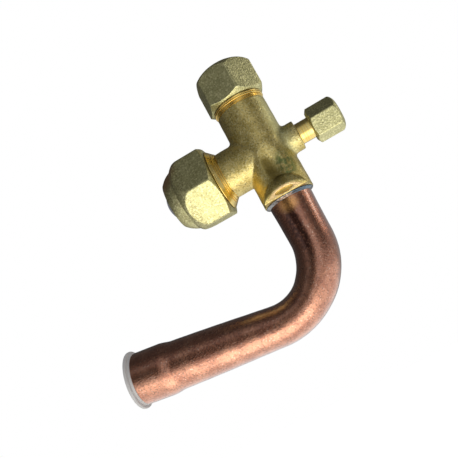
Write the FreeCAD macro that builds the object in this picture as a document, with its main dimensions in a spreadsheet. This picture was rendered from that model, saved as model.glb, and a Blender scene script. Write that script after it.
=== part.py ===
import FreeCAD, Part
import math
import os
import Sketcher
from FreeCAD import Placement, Rotation, Vector

# Refrigerant service valve: a forged brass three-way valve with a stem under a hexagon cap,
# a flare arm under its nut, a charging port under a small cap, and a bent copper tube brazed in below.
# All pieces are drawn about the point where the three axes cross. +Z is the stem axis, towards its cap,
# and +X is the charging port's axis. The row's origin is the centre of the tube's open mouth.
# Millimetres and degrees.

SIZES = {
    # forged body, barrel along Z
    "barrel_foot_radius": 10.65,
    "barrel_top_radius": 10.4,
    "barrel_foot": -20.5,
    "barrel_top": 22.4,
    "band_radius": 10.85,
    "band_groove": 0.35,
    "band_width": 1.0,
    "cap_seat_height": 36.0,
    "cap_thread_root": 9.1,
    "body_end_chamfer": 0.7,
    # bores along Z
    "tube_socket_radius": 9.05,
    "tube_socket_depth": 7.6,
    "foot_passage_radius": 5.6,
    "seat_height": -8.0,
    "stem_bore_radius": 7.2,
    "stem_thread_start": 18.2,
    "stem_thread_radius": 8.0,
    "ring_groove_radius": 8.6,
    "ring_groove_depth": 3.1,
    "ring_groove_width": 1.2,
    # flare arm, lengths measured along -X
    "arm_radius": 9.8,
    "arm_draft": 0.15,
    "shoulder_start": 17.85,
    "collar_radius": 12.9,
    "collar_end": 21.2,
    "collar_land": 0.3,
    "flare_thread_root": 10.05,
    "flare_nose_start": 33.5,
    "flare_nose_radius": 7.0,
    "flare_bore_radius": 6.0,
    # charging port, lengths measured along +X
    "boss_radius": 6.1,
    "boss_end": 15.3,
    "boss_edge": 0.35,
    "port_neck_radius": 4.34,
    "port_thread_start": 21.2,
    "port_thread_root": 4.78,
    "port_nose_start": 29.8,
    "port_nose_radius": 3.5,
    "port_passage_radius": 1.9,
    "port_passage_inner_end": 4.0,
    "core_seat_depth": 8.28,
    "core_seat_length": 0.8,
    "core_bore_radius": 2.7,
    # pad on the front of the foot, with its slanted face and oval dimple
    "pad_centre_drop": 1.1,
    "pad_radius": 8.8,
    "pad_front": 11.9,
    "pad_edge": 3.2,
    "pad_depth": 7.0,
    "facet_height": 3.8,
    "facet_foot_front": 10.75,
    "facet_reach": 3.0,
    "dimple_height": 1.9,
    "dimple_half_length": 3.5,
    "dimple_half_width": 0.95,
    "dimple_end_radius": 0.97,
    "dimple_depth": 0.55,
    # hollow of the forging above the pad, an ellipsoid's cut
    "hollow_side": 1.4,
    "hollow_height": -7.6,
    "hollow_centre_front": 16.6,
    "hollow_floor": 9.0,
    "hollow_half_width": 6.6,
    "hollow_half_height": 11.0,
    # rounds where the forging's arms run into the barrel
    "arm_round": 1.6,
    "boss_round": 1.2,
    # copper tube
    "tube_top_radius": 9.0,
    "tube_wall": 1.0,
    "oval_0_wide": 9.0,
    "oval_0_narrow": 9.0,
    "oval_1_wide": 9.0,
    "oval_1_narrow": 9.0,
    "oval_2_wide": 9.2,
    "oval_2_narrow": 8.7,
    "oval_3_wide": 9.45,
    "oval_3_narrow": 8.55,
    "oval_4_wide": 9.65,
    "oval_4_narrow": 8.7,
    "oval_5_wide": 9.85,
    "oval_5_narrow": 8.5,
    "oval_6_wide": 10.0,
    "oval_6_narrow": 8.05,
    "oval_7_wide": 10.0,
    "oval_7_narrow": 8.05,
    "oval_8_wide": 9.95,
    "oval_8_narrow": 8.2,
    "oval_9_wide": 9.85,
    "oval_9_narrow": 8.55,
    "oval_10_wide": 9.75,
    "oval_10_narrow": 8.95,
    "oval_11_wide": 9.75,
    "oval_11_narrow": 9.3,
    "oval_12_wide": 9.8,
    "oval_12_narrow": 9.6,
    "oval_13_wide": 9.85,
    "oval_13_narrow": 9.85,
    "bend_radius": 25.0,
    "bend_turn": 96.7,
    "bend_corner_drop": 45.4,
    "leg_length": 59.8,
    "swage_start": 42.6,
    "swage_length": 3.8,
    "socket_radius": 10.6,
    # braze
    "braze_height": 1.5,
    "braze_inset": 0.05,
    "braze_lip": 0.35,
    "braze_hollow": 3.0,
    # stem
    "stem_tip": -11.0,
    "stem_tip_radius": 4.0,
    "stem_waist_radius": 5.0,
    "stem_waist_top": 5.4,
    "stem_fit": 0.06,
    "stem_seat_radius": 6.6,
    "stem_chamfer": 0.6,
    "stem_thread_runout": 0.4,
    "stem_top": 24.6,
    "stem_groove_root": 5.45,
    "stem_groove_width": 2.2,
    "stem_groove_first": 6.6,
    "stem_groove_pitch": 3.3,
    "key_flats": 5.0,
    "key_depth": 8.0,
    # seals round the stem
    "seal_section_radius": 0.8,
    "seal_gap": 0.04,
    # retaining ring
    "ring_inner_radius": 7.35,
    "ring_thickness": 1.0,
    "ring_clearance": 0.1,
    "ring_angle": 322.0,
    # hexagon caps and nut
    "turning_allowance": 1.0,
    # stem cap
    "stem_cap_flats": 23.2,
    "stem_cap_phase": 15.0,
    "stem_cap_rim_gap": 0.35,
    "stem_cap_rim_radius": 11.25,
    "stem_cap_chamfer": 1.9,
    "stem_cap_head": 4.5,
    "stem_cap_crown": 4.6,
    "stem_cap_top_radius": 8.9,
    "stem_cap_side_arc": 9.5,
    "stem_cap_bore": 10.05,
    "stem_cap_well": 7.6,
    "stem_cap_wall": 2.6,
    "stem_cap_well_slope": 0.6,
    "stem_cap_seal_thickness": 0.8,
    "stem_cap_seal_inner": 8.2,
    "stem_cap_seal_outer": 9.9,
    # flare nut, lengths measured along -X
    "nut_flats": 29.0,
    "nut_phase": -7.2,
    "nut_face_gap": 0.2,
    "nut_face_radius": 14.2,
    "nut_chamfer": 1.8,
    "nut_chamfer_arc": 12.0,
    "nut_hexagon_end": 10.1,
    "nut_shoulder": 16.2,
    "nut_shoulder_radius": 13.2,
    "nut_length": 21.2,
    "nut_end_radius": 9.8,
    "nut_back_arc": 11.0,
    "nut_end_arc": 12.0,
    "nut_bore": 11.15,
    "nut_seat_lead": 0.8,
    "nut_hole": 8.2,
    # plug in the flare nut
    "flare_plug_gap": 0.06,
    "flare_plug_radius": 7.9,
    "flare_plug_wall": 1.0,
    "flare_plug_reach": 2.65,
    "flare_plug_dome": 9.75,
    "flare_plug_skirt_inset": 0.25,
    # charging port cap, lengths measured along +X
    "port_cap_flats": 13.05,
    "port_cap_phase": -9.5,
    "port_cap_skirt": 0.3,
    "port_cap_rim_radius": 5.95,
    "port_cap_chamfer": 1.1,
    "port_cap_chamfer_arc": 6.0,
    "port_cap_crown": 2.4,
    "port_cap_wall": 1.6,
    "port_cap_top_radius": 4.7,
    "port_cap_side_arc": 4.6,
    "port_cap_bore": 5.6,
    "port_seal_thickness": 0.72,
    "port_seal_radius": 5.4,
    "port_seal_hole": 1.3,
    # valve core in the port
    "core_sleeve_length": 5.3,
    "core_barrel_radius": 1.7,
    "core_head_radius": 2.4,
    "core_head_gap": 0.3,
    "core_head_length": 2.7,
    "core_barrel_bore": 1.25,
    "core_seat_lip": 0.4,
    "core_seat_bore": 0.75,
    "core_pin_hole": 0.62,
    "core_gasket_radius": 2.3,
    "core_plug_radius": 2.62,
    "core_plug_length": 3.6,
    "core_plug_step": 1.8,
    "core_plug_blade": 2.2,
    "core_plug_bore": 1.0,
    "core_pin_radius": 0.5,
    "core_pin_reach": 0.5,
    "core_pin_flange": 0.95,
    "core_pin_flange_depth": 0.6,
    "core_pin_flange_width": 0.5,
    "core_cup_radius": 1.55,
    "core_cup_depth": 1.5,
    "core_cup_wall": 0.25,
    "core_gap": 0.05,
    "core_wire_radius": 0.16,
    "core_spring_radius": 0.92,
    "core_spring_turns": 7.0,
    # plug in the tube's mouth, lengths measured along the tube's leg from its mouth
    "plug_flange_radius": 11.85,
    "plug_flange_thickness": 1.3,
    "plug_step_radius": 10.4,
    "plug_step": 1.1,
    "plug_body_radius": 9.45,
    "plug_tip_radius": 9.1,
    "plug_depth": 10.0,
    "plug_wall": 1.1,
}

os.makedirs("parts", exist_ok=True)
doc = FreeCAD.newDocument("service_valve")


def fill_sheet():
    """The driving sizes, one row each, with the size's name as the cell's alias."""
    table = doc.addObject("Spreadsheet::Sheet", "Sizes")
    for row, (name, number) in enumerate(SIZES.items(), start=1):
        table.set(f"A{row}", name)
        table.set(f"B{row}", str(number))
        table.setAlias(f"B{row}", name)
    doc.recompute()


class Size:
    """A size with its number and the expression that works it out from the sheet."""

    def __init__(self, number, text=None):
        self.number = float(number)
        self.text = text if text else repr(float(number))

    def __add__(self, other):
        other = as_size(other)
        return Size(self.number + other.number, f"({self.text} + {other.text})")

    def __radd__(self, other):
        return as_size(other) + self

    def __sub__(self, other):
        other = as_size(other)
        return Size(self.number - other.number, f"({self.text} - {other.text})")

    def __rsub__(self, other):
        return as_size(other) - self

    def __mul__(self, other):
        other = as_size(other)
        return Size(self.number * other.number, f"({self.text} * {other.text})")

    __rmul__ = __mul__

    def __truediv__(self, other):
        other = as_size(other)
        return Size(self.number / other.number, f"({self.text} / {other.text})")

    def __neg__(self):
        return Size(-self.number, f"(-1 * {self.text})")


def as_size(thing):
    return thing if isinstance(thing, Size) else Size(thing)


def size(name):
    return Size(SIZES[name], f"Sizes.{name}")


def cosine(angle):
    return Size(math.cos(math.radians(angle.number)), f"cos({angle.text})")


def sine(angle):
    return Size(math.sin(math.radians(angle.number)), f"sin({angle.text})")


def root(square):
    return Size(math.sqrt(square.number), f"sqrt({square.text})")


def bind(thing, path, amount):
    """Ties one property of a document object to the sheet."""
    thing.setExpression(path, as_size(amount).text)


def origin_plane(body, role):
    return [f for f in body.Origin.OriginFeatures if f.Role == role][0]


def new_body(label):
    body = doc.addObject("PartDesign::Body", label)
    body.Label = label
    return body


def new_sketch(body, name, role="XZ_Plane", offset=None):
    """An empty sketch on one of the body's own planes, moved along the plane's normal by offset."""
    sketch = body.newObject("Sketcher::SketchObject", name)
    sketch.AttachmentSupport = (origin_plane(body, role), [""])
    sketch.MapMode = "FlatFace"
    if offset is not None:
        sketch.AttachmentOffset = Placement(Vector(0, 0, as_size(offset).number), Rotation())
        bind(sketch, "AttachmentOffset.Base.z", offset)
    return sketch


def place_point(sketch, edge, end, point):
    """Holds one end of an edge at a point, both coordinates tied to the sheet."""
    for kind, coordinate in zip(("DistanceX", "DistanceY"), point):
        coordinate = as_size(coordinate)
        rule = sketch.addConstraint(
            Sketcher.Constraint(kind, -1, 1, edge, end, coordinate.number)
        )
        bind(sketch, f"Constraints[{rule}]", coordinate)


def arc_edge(start, end, radius):
    """The short arc from start to end; a positive radius bulges to the right of the way."""
    way = end - start
    rise = (radius**2 - (way.Length / 2) ** 2) ** 0.5
    side = Vector(-way.y, way.x, 0).normalize()
    centre = start + way * 0.5 + side * (rise if radius > 0 else -rise)
    return centre, abs(radius)


def draw_outline(sketch, points):
    """A closed outline. A point is (x, y), or (x, y, radius) where an arc comes to it."""
    count = len(points)
    flat = [Vector(as_size(p[0]).number, as_size(p[1]).number, 0) for p in points]
    starts = {}
    ends = {}
    for i in range(count):
        follower = (i + 1) % count
        if len(points[follower]) == 2:
            edge = sketch.addGeometry(Part.LineSegment(flat[i], flat[follower]), False)
            starts[i], ends[follower] = (edge, 1), (edge, 2)
            continue
        bulge = points[follower][2]
        centre, radius = arc_edge(flat[i], flat[follower], bulge.number)
        first = flat[i] - centre
        last = flat[follower] - centre
        turns_left = bulge.number > 0
        low, high = (first, last) if turns_left else (last, first)
        x_axis = Vector(1, 0, 0)
        turn = [v.getAngle(x_axis) * (1 if v.y >= 0 else -1) for v in (low, high)]
        circle = Part.Circle(centre, Vector(0, 0, 1), radius)
        edge = sketch.addGeometry(Part.ArcOfCircle(circle, turn[0], turn[1]), False)
        starts[i], ends[follower] = ((edge, 1), (edge, 2)) if turns_left else ((edge, 2), (edge, 1))
        rule = sketch.addConstraint(Sketcher.Constraint("Radius", edge, radius))
        bind(sketch, f"Constraints[{rule}]", bulge if turns_left else -bulge)
    for i in range(count):
        sketch.addConstraint(Sketcher.Constraint("Coincident", *ends[i], *starts[i]))
        place_point(sketch, *starts[i], points[i])


def hexagon(across_flats, phase):
    """The six corners, the first one phase degrees from -Y towards +X."""
    reach = across_flats / (3**0.5)
    angles = [phase + 60.0 * k for k in range(6)]
    return [(reach * sine(a), -reach * cosine(a)) for a in angles]


def add_turned(
    body, name, points, axis="V_Axis", cut=False, turn=None, role="XZ_Plane", offset=None
):
    """A revolution of an outline, or a groove of it with the check that it took something away."""
    sketch = new_sketch(body, f"{name}_outline", role, offset)
    draw_outline(sketch, points)
    before = body.Shape.Volume if cut else 0.0
    kind = "PartDesign::Groove" if cut else "PartDesign::Revolution"
    feature = body.newObject(kind, name)
    feature.Profile = sketch
    feature.ReferenceAxis = (sketch, [axis])
    feature.Angle = 360.0
    if turn is not None:
        bind(feature, "Angle", turn)
    doc.recompute()
    if cut and not body.Shape.Volume < before - 1e-4:
        raise ValueError(f"{body.Label}: {name} cut nothing")
    return feature


def add_prism(body, name, points, length, role="XY_Plane", offset=None, cut=False, reverse=False):
    """A pad of an outline along its plane's normal, or a pocket of it with the same check."""
    sketch = new_sketch(body, f"{name}_outline", role, offset)
    draw_outline(sketch, points)
    before = body.Shape.Volume if cut else 0.0
    feature = body.newObject("PartDesign::Pocket" if cut else "PartDesign::Pad", name)
    feature.Profile = sketch
    feature.Reversed = reverse
    bind(feature, "Length", length)
    doc.recompute()
    if cut and not body.Shape.Volume < before - 1e-4:
        raise ValueError(f"{body.Label}: {name} cut nothing")
    return feature


def add_round(body, name, feature, edges, radius):
    """A fillet on the edges of the body's last feature."""
    rounded = body.newObject("PartDesign::Fillet", name)
    rounded.Base = (feature, edges)
    bind(rounded, "Radius", radius)
    doc.recompute()
    return rounded


def along(direction):
    """The turn that stands a piece drawn along +Z in one of the valve's directions."""
    turns = {"up": 0.0, "flare": -90.0, "port": 90.0}
    return Rotation(Vector(0, 1, 0), turns[direction])


def socket_top():
    """The height of the shoulder inside the foot that the tube's end meets."""
    return size("barrel_foot") + size("tube_socket_depth")


def band_top():
    """The height of the upper side of the barrel's band."""
    return size("barrel_top") + size("band_groove") + size("band_width")


def ring_groove():
    """The height of the retaining ring's groove, below the barrel's end."""
    return size("cap_seat_height") - size("ring_groove_depth")


def nut_face():
    """Where the flare nut starts, a gap beyond the body's collar."""
    return size("collar_end") + size("nut_face_gap")


def nut_seat():
    """Where the nut's bore starts to narrow, a little beyond the start of the flare's nose."""
    return size("flare_nose_start") + size("nut_seat_lead")


def port_cap_floor():
    """The small cap's floor, on the seal that lies on the port's nose."""
    return port_tip() + size("port_seal_thickness")


def core_seat():
    """Where the port's bore starts to widen for the valve core, and where it is wide."""
    start = port_tip() - size("core_seat_depth")
    return start, start + size("core_seat_length")


def core_head():
    """The start and the outer end of the head of the valve core's barrel."""
    start = core_seat()[1] + size("core_head_gap")
    return start, start + size("core_head_length")


def core_inner_end():
    """The inner end of the core's barrel, where its cup seals."""
    return core_head()[0] - size("core_sleeve_length")


def core_plug_end():
    return core_head()[1] + size("core_plug_length")


def tube_points():
    """Where the tube's bend begins and ends, and its mouth, in the XZ plane from the crossing."""
    turn = size("bend_turn")
    tangent = size("bend_radius") * sine(turn / 2) / cosine(turn / 2)
    begin = (Size(0), size("barrel_foot") - size("bend_corner_drop") + tangent)
    end = (
        -size("bend_radius") * (1 - cosine(turn)),
        begin[1] - size("bend_radius") * sine(turn),
    )
    way = (-sine(turn), -cosine(turn))
    mouth = (
        end[0] + way[0] * size("leg_length"),
        end[1] + way[1] * size("leg_length"),
    )
    return begin, end, way, mouth


def settle(piece, rotation=Rotation(), base=(0, 0)):
    """Gives a piece its place in the row: the tube's mouth is the row's origin."""
    mouth = tube_points()[3]
    shift = [as_size(b) - m for b, m in zip(base, mouth)]
    piece.Placement = Placement(Vector(shift[0].number, 0, shift[1].number), rotation)
    bind(piece, "Placement.Base.x", shift[0])
    bind(piece, "Placement.Base.z", shift[1])


def edges_between(shape, test):
    """The names of the edges whose two faces pass the test."""
    named = []
    for index, edge in enumerate(shape.Edges, start=1):
        faces = shape.ancestorsOfType(edge, Part.Face)
        if len(faces) == 2 and test(edge, faces[0].Surface, faces[1].Surface):
            named.append(f"Edge{index}")
    return named


def across(surface, direction):
    """Whether a round surface turns about an axis in the direction."""
    return hasattr(surface, "Axis") and abs(surface.Axis.dot(direction)) > 0.999


def make_valve_body():
    """The forging: a drafted barrel, the flare arm, the port's boss, the foot's pad, then its bores."""
    body = new_body("valve_body")
    band = band_top() - size("band_width")
    chamfer = size("body_end_chamfer")
    thread = size("cap_thread_root")
    add_turned(body, "barrel", [
        (0, size("barrel_foot")),
        (size("barrel_foot_radius"), size("barrel_foot")),
        (size("barrel_top_radius"), size("barrel_top")),
        (size("barrel_top_radius") - size("band_groove"), size("barrel_top")),
        (size("barrel_top_radius") - size("band_groove"), band),
        (size("band_radius"), band),
        (size("band_radius"), band_top()),
        (thread, band_top()),
        (thread, size("cap_seat_height") - chamfer),
        (thread - chamfer, size("cap_seat_height")),
        (0, size("cap_seat_height")),
    ])
    arm = size("arm_radius")
    outline = [
        (0, 0),
        (0, arm + size("arm_draft")),
        (size("shoulder_start"), arm),
        (size("collar_end") - size("collar_land"), size("collar_radius")),
        (size("collar_end"), size("collar_radius")),
        (size("collar_end"), size("flare_thread_root")),
        (size("flare_nose_start"), size("flare_thread_root")),
        (flare_tip(), size("flare_nose_radius")),
        (flare_tip(), 0),
    ]
    add_turned(body, "flare_arm", [(-as_size(x), z) for x, z in outline], "H_Axis")
    arms = add_turned(body, "port_arm", [
        (0, 0),
        (0, size("boss_radius")),
        (size("boss_end") - size("boss_edge"), size("boss_radius")),
        (size("boss_end"), size("boss_radius") - size("boss_edge")),
        (size("boss_end"), size("port_neck_radius")),
        (size("port_thread_start"), size("port_neck_radius")),
        (size("port_thread_start"), size("port_thread_root")),
        (size("port_nose_start"), size("port_thread_root")),
        (port_tip(), size("port_nose_radius")),
        (port_tip(), 0),
    ], "H_Axis")
    round_the_forging(body, arms)
    add_hollow(body)
    add_foot_pad(body)
    add_body_bores(body)
    settle(body)
    return body


def add_hollow(body):
    """The soft hollow in the forging's front, between the flare arm's root and the pad."""
    hollow = body.newObject("PartDesign::SubtractiveEllipsoid", "hollow")
    bind(hollow, "Radius1", size("hollow_half_height"))
    bind(hollow, "Radius2", size("hollow_half_width"))
    bind(hollow, "Radius3", size("hollow_centre_front") - size("hollow_floor"))
    bind(hollow, "Placement.Base.x", size("hollow_side"))
    bind(hollow, "Placement.Base.y", -size("hollow_centre_front"))
    bind(hollow, "Placement.Base.z", size("hollow_height"))
    before = body.Shape.Volume
    doc.recompute()
    if not body.Shape.Volume < before - 1e-4:
        raise ValueError("valve_body: the hollow cut nothing")


def add_foot_pad(body):
    """The pad on the foot's front: a domed boss with a slanted face and a shallow oval dimple."""
    reach = size("pad_radius")
    foot = size("barrel_foot")
    front = size("pad_front")
    edge = size("pad_edge")
    add_turned(body, "pad", [
        (0, -size("pad_depth")),
        (reach, -size("pad_depth")),
        (reach, edge - front),
        (reach - edge, -front, -edge),
        (0, -front),
    ], role="XY_Plane", offset=foot - size("pad_centre_drop"))
    add_prism(body, "pad_foot", [
        (-reach, foot),
        (reach, foot),
        (reach, foot - reach * 2),
        (-reach, foot - reach * 2),
    ], front * 2, "XZ_Plane", front, cut=True)
    outside = front + size("facet_reach")
    facet_top = foot + size("facet_height")
    add_prism(body, "facet", [
        (-front, facet_top),
        (-size("facet_foot_front"), foot),
        (-outside, foot),
        (-outside, facet_top),
    ], reach * 2, "YZ_Plane", -reach, cut=True, reverse=True)
    fall = size("dimple_height") / size("facet_height")
    facet_here = size("facet_foot_front") + (front - size("facet_foot_front")) * fall
    straight = size("dimple_half_length") - size("dimple_half_width")
    low = foot + size("dimple_height") - size("dimple_half_width")
    high = foot + size("dimple_height") + size("dimple_half_width")
    return add_prism(body, "dimple", [
        (-straight, low, size("dimple_end_radius")),
        (straight, low),
        (straight, high, size("dimple_end_radius")),
        (-straight, high),
    ], front - facet_here + size("dimple_depth"), "XZ_Plane", front, cut=True)


def round_the_forging(body, last):
    """Rounds in the corners between the barrel and its two arms, and a soft edge on the boss."""
    upright = Vector(0, 0, 1)
    sideways = Vector(1, 0, 0)

    def meets(edge, first, second):
        crossed = (across(first, upright) and across(second, sideways)) or (
            across(first, sideways) and across(second, upright)
        )
        return crossed

    for name, radius, side in (
        ("arm_corner", size("arm_round"), -1),
        ("boss_corner", size("boss_round"), 1),
    ):
        edges = edges_between(
            last.Shape,
            lambda edge, first, second: meets(edge, first, second)
            and edge.CenterOfMass.x * side > 1.0,
        )
        last = add_round(body, name, last, edges, radius)
    return last


def add_body_bores(body):
    """The tube's socket, the seat, the stem's bore and thread, and the two side bores."""
    groove = ring_groove()
    foot = size("barrel_foot")
    seat = size("seat_height")
    rise = size("stem_bore_radius") - size("foot_passage_radius")
    add_turned(body, "stem_bores", [
        (0, foot),
        (size("tube_socket_radius"), foot),
        (size("tube_socket_radius"), socket_top()),
        (size("foot_passage_radius"), socket_top()),
        (size("foot_passage_radius"), seat - rise),
        (size("stem_bore_radius"), seat),
        (size("stem_bore_radius"), size("stem_thread_start")),
        (size("stem_thread_radius"), size("stem_thread_start")),
        (size("stem_thread_radius"), groove),
        (size("ring_groove_radius"), groove),
        (size("ring_groove_radius"), groove + size("ring_groove_width")),
        (size("stem_thread_radius"), groove + size("ring_groove_width")),
        (size("stem_thread_radius"), size("cap_seat_height")),
        (0, size("cap_seat_height")),
    ], cut=True)
    add_turned(body, "flare_bore", [
        (0, 0),
        (0, size("flare_bore_radius")),
        (-flare_tip(), size("flare_bore_radius")),
        (-flare_tip(), 0),
    ], "H_Axis", cut=True)
    seat_start, seat_end = core_seat()
    add_turned(body, "port_bores", [
        (size("port_passage_inner_end"), 0),
        (size("port_passage_inner_end"), size("port_passage_radius")),
        (seat_start, size("port_passage_radius")),
        (seat_end, size("core_bore_radius")),
        (port_tip(), size("core_bore_radius")),
        (port_tip(), 0),
    ], "H_Axis", cut=True)


def port_tip():
    """The charging port's end, where its 45 degree nose has come down to its small radius."""
    return size("port_nose_start") + size("port_thread_root") - size("port_nose_radius")


def flare_tip():
    """The flare arm's end, where its 45 degree nose has come down to its small radius."""
    return size("flare_nose_start") + size("flare_thread_root") - size("flare_nose_radius")


def make_outlet_tube():
    """The copper tube: a loft through the oval sections that its bend leaves, then the swaged socket.

    It is drawn bending towards -Y, so that the wide way of each oval lies along its local X."""
    skins = []
    for skin, inset in (("outer", Size(0)), ("inner", size("tube_wall"))):
        ovals = [oval(skin, inset, number, *spot) for number, spot in enumerate(tube_stations())]
        loft = doc.addObject("Part::Loft", f"tube_{skin}")
        loft.Sections = ovals
        loft.Solid = True
        loft.Ruled = False
        skins.append(fused(f"tube_{skin}_whole", [loft] + socket_solids(skin, inset)))
    tube = doc.addObject("Part::Cut", "outlet_tube")
    tube.Base, tube.Tool = skins
    tube.Label = "outlet_tube"
    doc.recompute()
    settle(tube, Rotation(Vector(0, 0, 1), -90.0))
    return tube


def tube_stations():
    """Evenly spaced spots down the tube's path, each with how far the path has turned there."""
    begin, end, way, _ = tube_points()
    turn = size("bend_turn")
    top = socket_top()
    spots = [((Size(0), top + (begin[1] - top) * (k / 3)), Size(0)) for k in range(3)]
    for k in range(6):
        angle = turn * (k / 5)
        aside = -size("bend_radius") * (1 - cosine(angle))
        spots.append(((aside, begin[1] - size("bend_radius") * sine(angle)), angle))
    for k in range(1, 6):
        run = size("swage_start") * (k / 5)
        spots.append(((end[0] + way[0] * run, end[1] + way[1] * run), turn))
    return spots


def oval(skin, inset, number, spot, angle):
    """One oval section of the tube, square to its path."""
    section = doc.addObject("Part::Ellipse", f"{skin}_oval_{number}")
    section.Placement = Placement(
        Vector(0, spot[0].number, spot[1].number), Rotation(Vector(-1, 0, 0), angle.number)
    )
    bind(section, "Placement.Base.y", spot[0])
    bind(section, "Placement.Base.z", spot[1])
    bind(section, "Placement.Rotation.Angle", angle)
    bind(section, "MajorRadius", size(f"oval_{number}_wide") - inset)
    bind(section, "MinorRadius", size(f"oval_{number}_narrow") - inset)
    return section


def socket_solids(skin, inset):
    """The swage's cone and the socket's round end, on the leg's axis."""
    _, end, way, _ = tube_points()
    turned = Rotation(Vector(1, 0, 0), 180.0 - SIZES["bend_turn"])
    start = size("swage_start")
    cone = doc.addObject("Part::Cone", f"{skin}_swage")
    bind(cone, "Radius1", size("oval_13_wide") - inset)
    bind(cone, "Radius2", size("socket_radius") - inset)
    bind(cone, "Height", size("swage_length"))
    mouth_run = size("leg_length") - start - size("swage_length")
    barrel = doc.addObject("Part::Cylinder", f"{skin}_socket")
    bind(barrel, "Radius", size("socket_radius") - inset)
    bind(barrel, "Height", mouth_run)
    for piece, run in ((cone, start), (barrel, start + size("swage_length"))):
        spot = (end[0] + way[0] * run, end[1] + way[1] * run)
        piece.Placement = Placement(Vector(0, spot[0].number, spot[1].number), turned)
        bind(piece, "Placement.Base.y", spot[0])
        bind(piece, "Placement.Base.z", spot[1])
    return [cone, barrel]


def fused(name, pieces):
    whole = doc.addObject("Part::MultiFuse", name)
    whole.Shapes = pieces
    whole.Refine = False
    doc.recompute()
    return whole


def make_braze_ring():
    """The fillet of braze where the tube enters the foot."""
    body = new_body("braze_ring")
    foot = size("barrel_foot")
    inner = size("tube_socket_radius")
    outer = size("barrel_foot_radius") - size("braze_inset")
    add_turned(body, "fillet", [
        (inner, foot),
        (inner, foot - size("braze_height")),
        (inner + size("braze_lip"), foot - size("braze_height")),
        (outer, foot - size("braze_lip"), -size("braze_hollow")),
        (outer, foot),
    ])
    settle(body)
    return body


def make_stem():
    """The stem: a cone on the seat, two seal grooves, a threaded head with a key socket."""
    body = new_body("stem")
    fit = size("stem_fit")
    seat_radius = size("foot_passage_radius") - fit
    shank = size("stem_bore_radius") - fit
    thread = size("stem_thread_radius") - fit
    seat = size("seat_height")
    drop = size("stem_bore_radius") - size("foot_passage_radius")
    cone_foot = seat - drop + fit
    points = [
        (0, size("stem_tip")),
        (size("stem_tip_radius"), size("stem_tip")),
        (seat_radius - fit, cone_foot),
        (size("stem_seat_radius"), cone_foot + size("stem_seat_radius") - seat_radius + fit),
        (size("stem_waist_radius"), seat + size("stem_seat_radius") - size("stem_waist_radius") + drop),
        (size("stem_waist_radius"), size("stem_waist_top")),
        (shank, size("stem_waist_top")),
    ]
    for groove in range(2):
        foot = size("stem_groove_first") + size("stem_groove_pitch") * groove
        top = foot + size("stem_groove_width")
        points += [
            (shank, foot),
            (size("stem_groove_root"), foot),
            (size("stem_groove_root"), top),
            (shank, top),
        ]
    points += [
        (shank, size("stem_thread_start") + size("stem_thread_runout")),
        (thread, size("stem_thread_start") + size("stem_thread_runout")),
        (thread, size("stem_top") - size("stem_chamfer")),
        (thread - size("stem_chamfer"), size("stem_top")),
        (0, size("stem_top")),
    ]
    add_turned(body, "turned_stem", points)
    add_prism(
        body, "key_socket", hexagon(size("key_flats"), Size(0)), size("key_depth"),
        offset=size("stem_top"), cut=True,
    )
    settle(body)
    return body


def make_stem_seals():
    """The two round rings in the stem's grooves."""
    section = size("seal_section_radius")
    reach = size("stem_bore_radius") - size("seal_gap") - section
    for number in (1, 2):
        ring = doc.addObject("Part::Torus", f"stem_o_ring_{number}")
        ring.Label = f"stem_o_ring_{number}"
        bind(ring, "Radius1", reach)
        bind(ring, "Radius2", section)
        lift = size("stem_groove_first") + size("stem_groove_pitch") * (number - 1)
        settle(ring, base=(0, lift + size("stem_groove_width") / 2))
        yield ring


def make_stem_retaining_ring():
    """The split ring in the barrel's mouth that stops the stem from coming out."""
    body = new_body("stem_retaining_ring")
    foot = ring_groove() + size("ring_clearance")
    outer = size("ring_groove_radius") - size("ring_clearance")
    add_turned(body, "split_ring", [
        (size("ring_inner_radius"), foot),
        (outer, foot),
        (outer, foot + size("ring_thickness")),
        (size("ring_inner_radius"), foot + size("ring_thickness")),
    ], turn=size("ring_angle"))
    settle(body)
    return body


def make_hexagon_cap(label, flats, phase, foot, top, outside, inside, direction):
    """A hexagon piece: the bar, turned outside to its chamfers and crown, then bored."""
    body = new_body(label)
    add_prism(body, "hexagon_bar", hexagon(size(flats), size(phase)), top - foot, offset=foot)
    add_turned(body, "turned_outside", outside, cut=True)
    add_turned(body, "turned_inside", inside, cut=True)
    settle(body, along(direction))
    return body


def make_stem_cap():
    """The stem's cap, with its chamfered rim, crowned top and a well over the stem's head."""
    foot = band_top() + size("stem_cap_rim_gap")
    top = size("cap_seat_height") + size("stem_cap_head")
    corner = size("stem_cap_flats") / (3**0.5)
    beyond = corner + size("turning_allowance")
    outside = [
        (size("stem_cap_rim_radius"), foot),
        (beyond, foot),
        (beyond, top),
        (size("stem_cap_top_radius"), top),
        (corner, top - size("stem_cap_crown"), -size("stem_cap_side_arc")),
        (corner, foot + size("stem_cap_chamfer")),
    ]
    floor = size("cap_seat_height") + size("stem_cap_seal_thickness")
    inside = [
        (0, foot),
        (size("stem_cap_bore"), foot),
        (size("stem_cap_bore"), floor),
        (size("stem_cap_well"), floor),
        (size("stem_cap_well") - size("stem_cap_well_slope"), top - size("stem_cap_wall")),
        (0, top - size("stem_cap_wall")),
    ]
    return make_hexagon_cap(
        "stem_cap", "stem_cap_flats", "stem_cap_phase", foot, top, outside, inside, "up"
    )


def make_stem_cap_seal():
    """The flat ring between the barrel's end and the cap's floor."""
    body = new_body("stem_cap_seal")
    foot = size("cap_seat_height")
    add_turned(body, "flat_ring", [
        (size("stem_cap_seal_inner"), foot),
        (size("stem_cap_seal_outer"), foot),
        (size("stem_cap_seal_outer"), foot + size("stem_cap_seal_thickness")),
        (size("stem_cap_seal_inner"), foot + size("stem_cap_seal_thickness")),
    ])
    settle(body)
    return body


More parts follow.
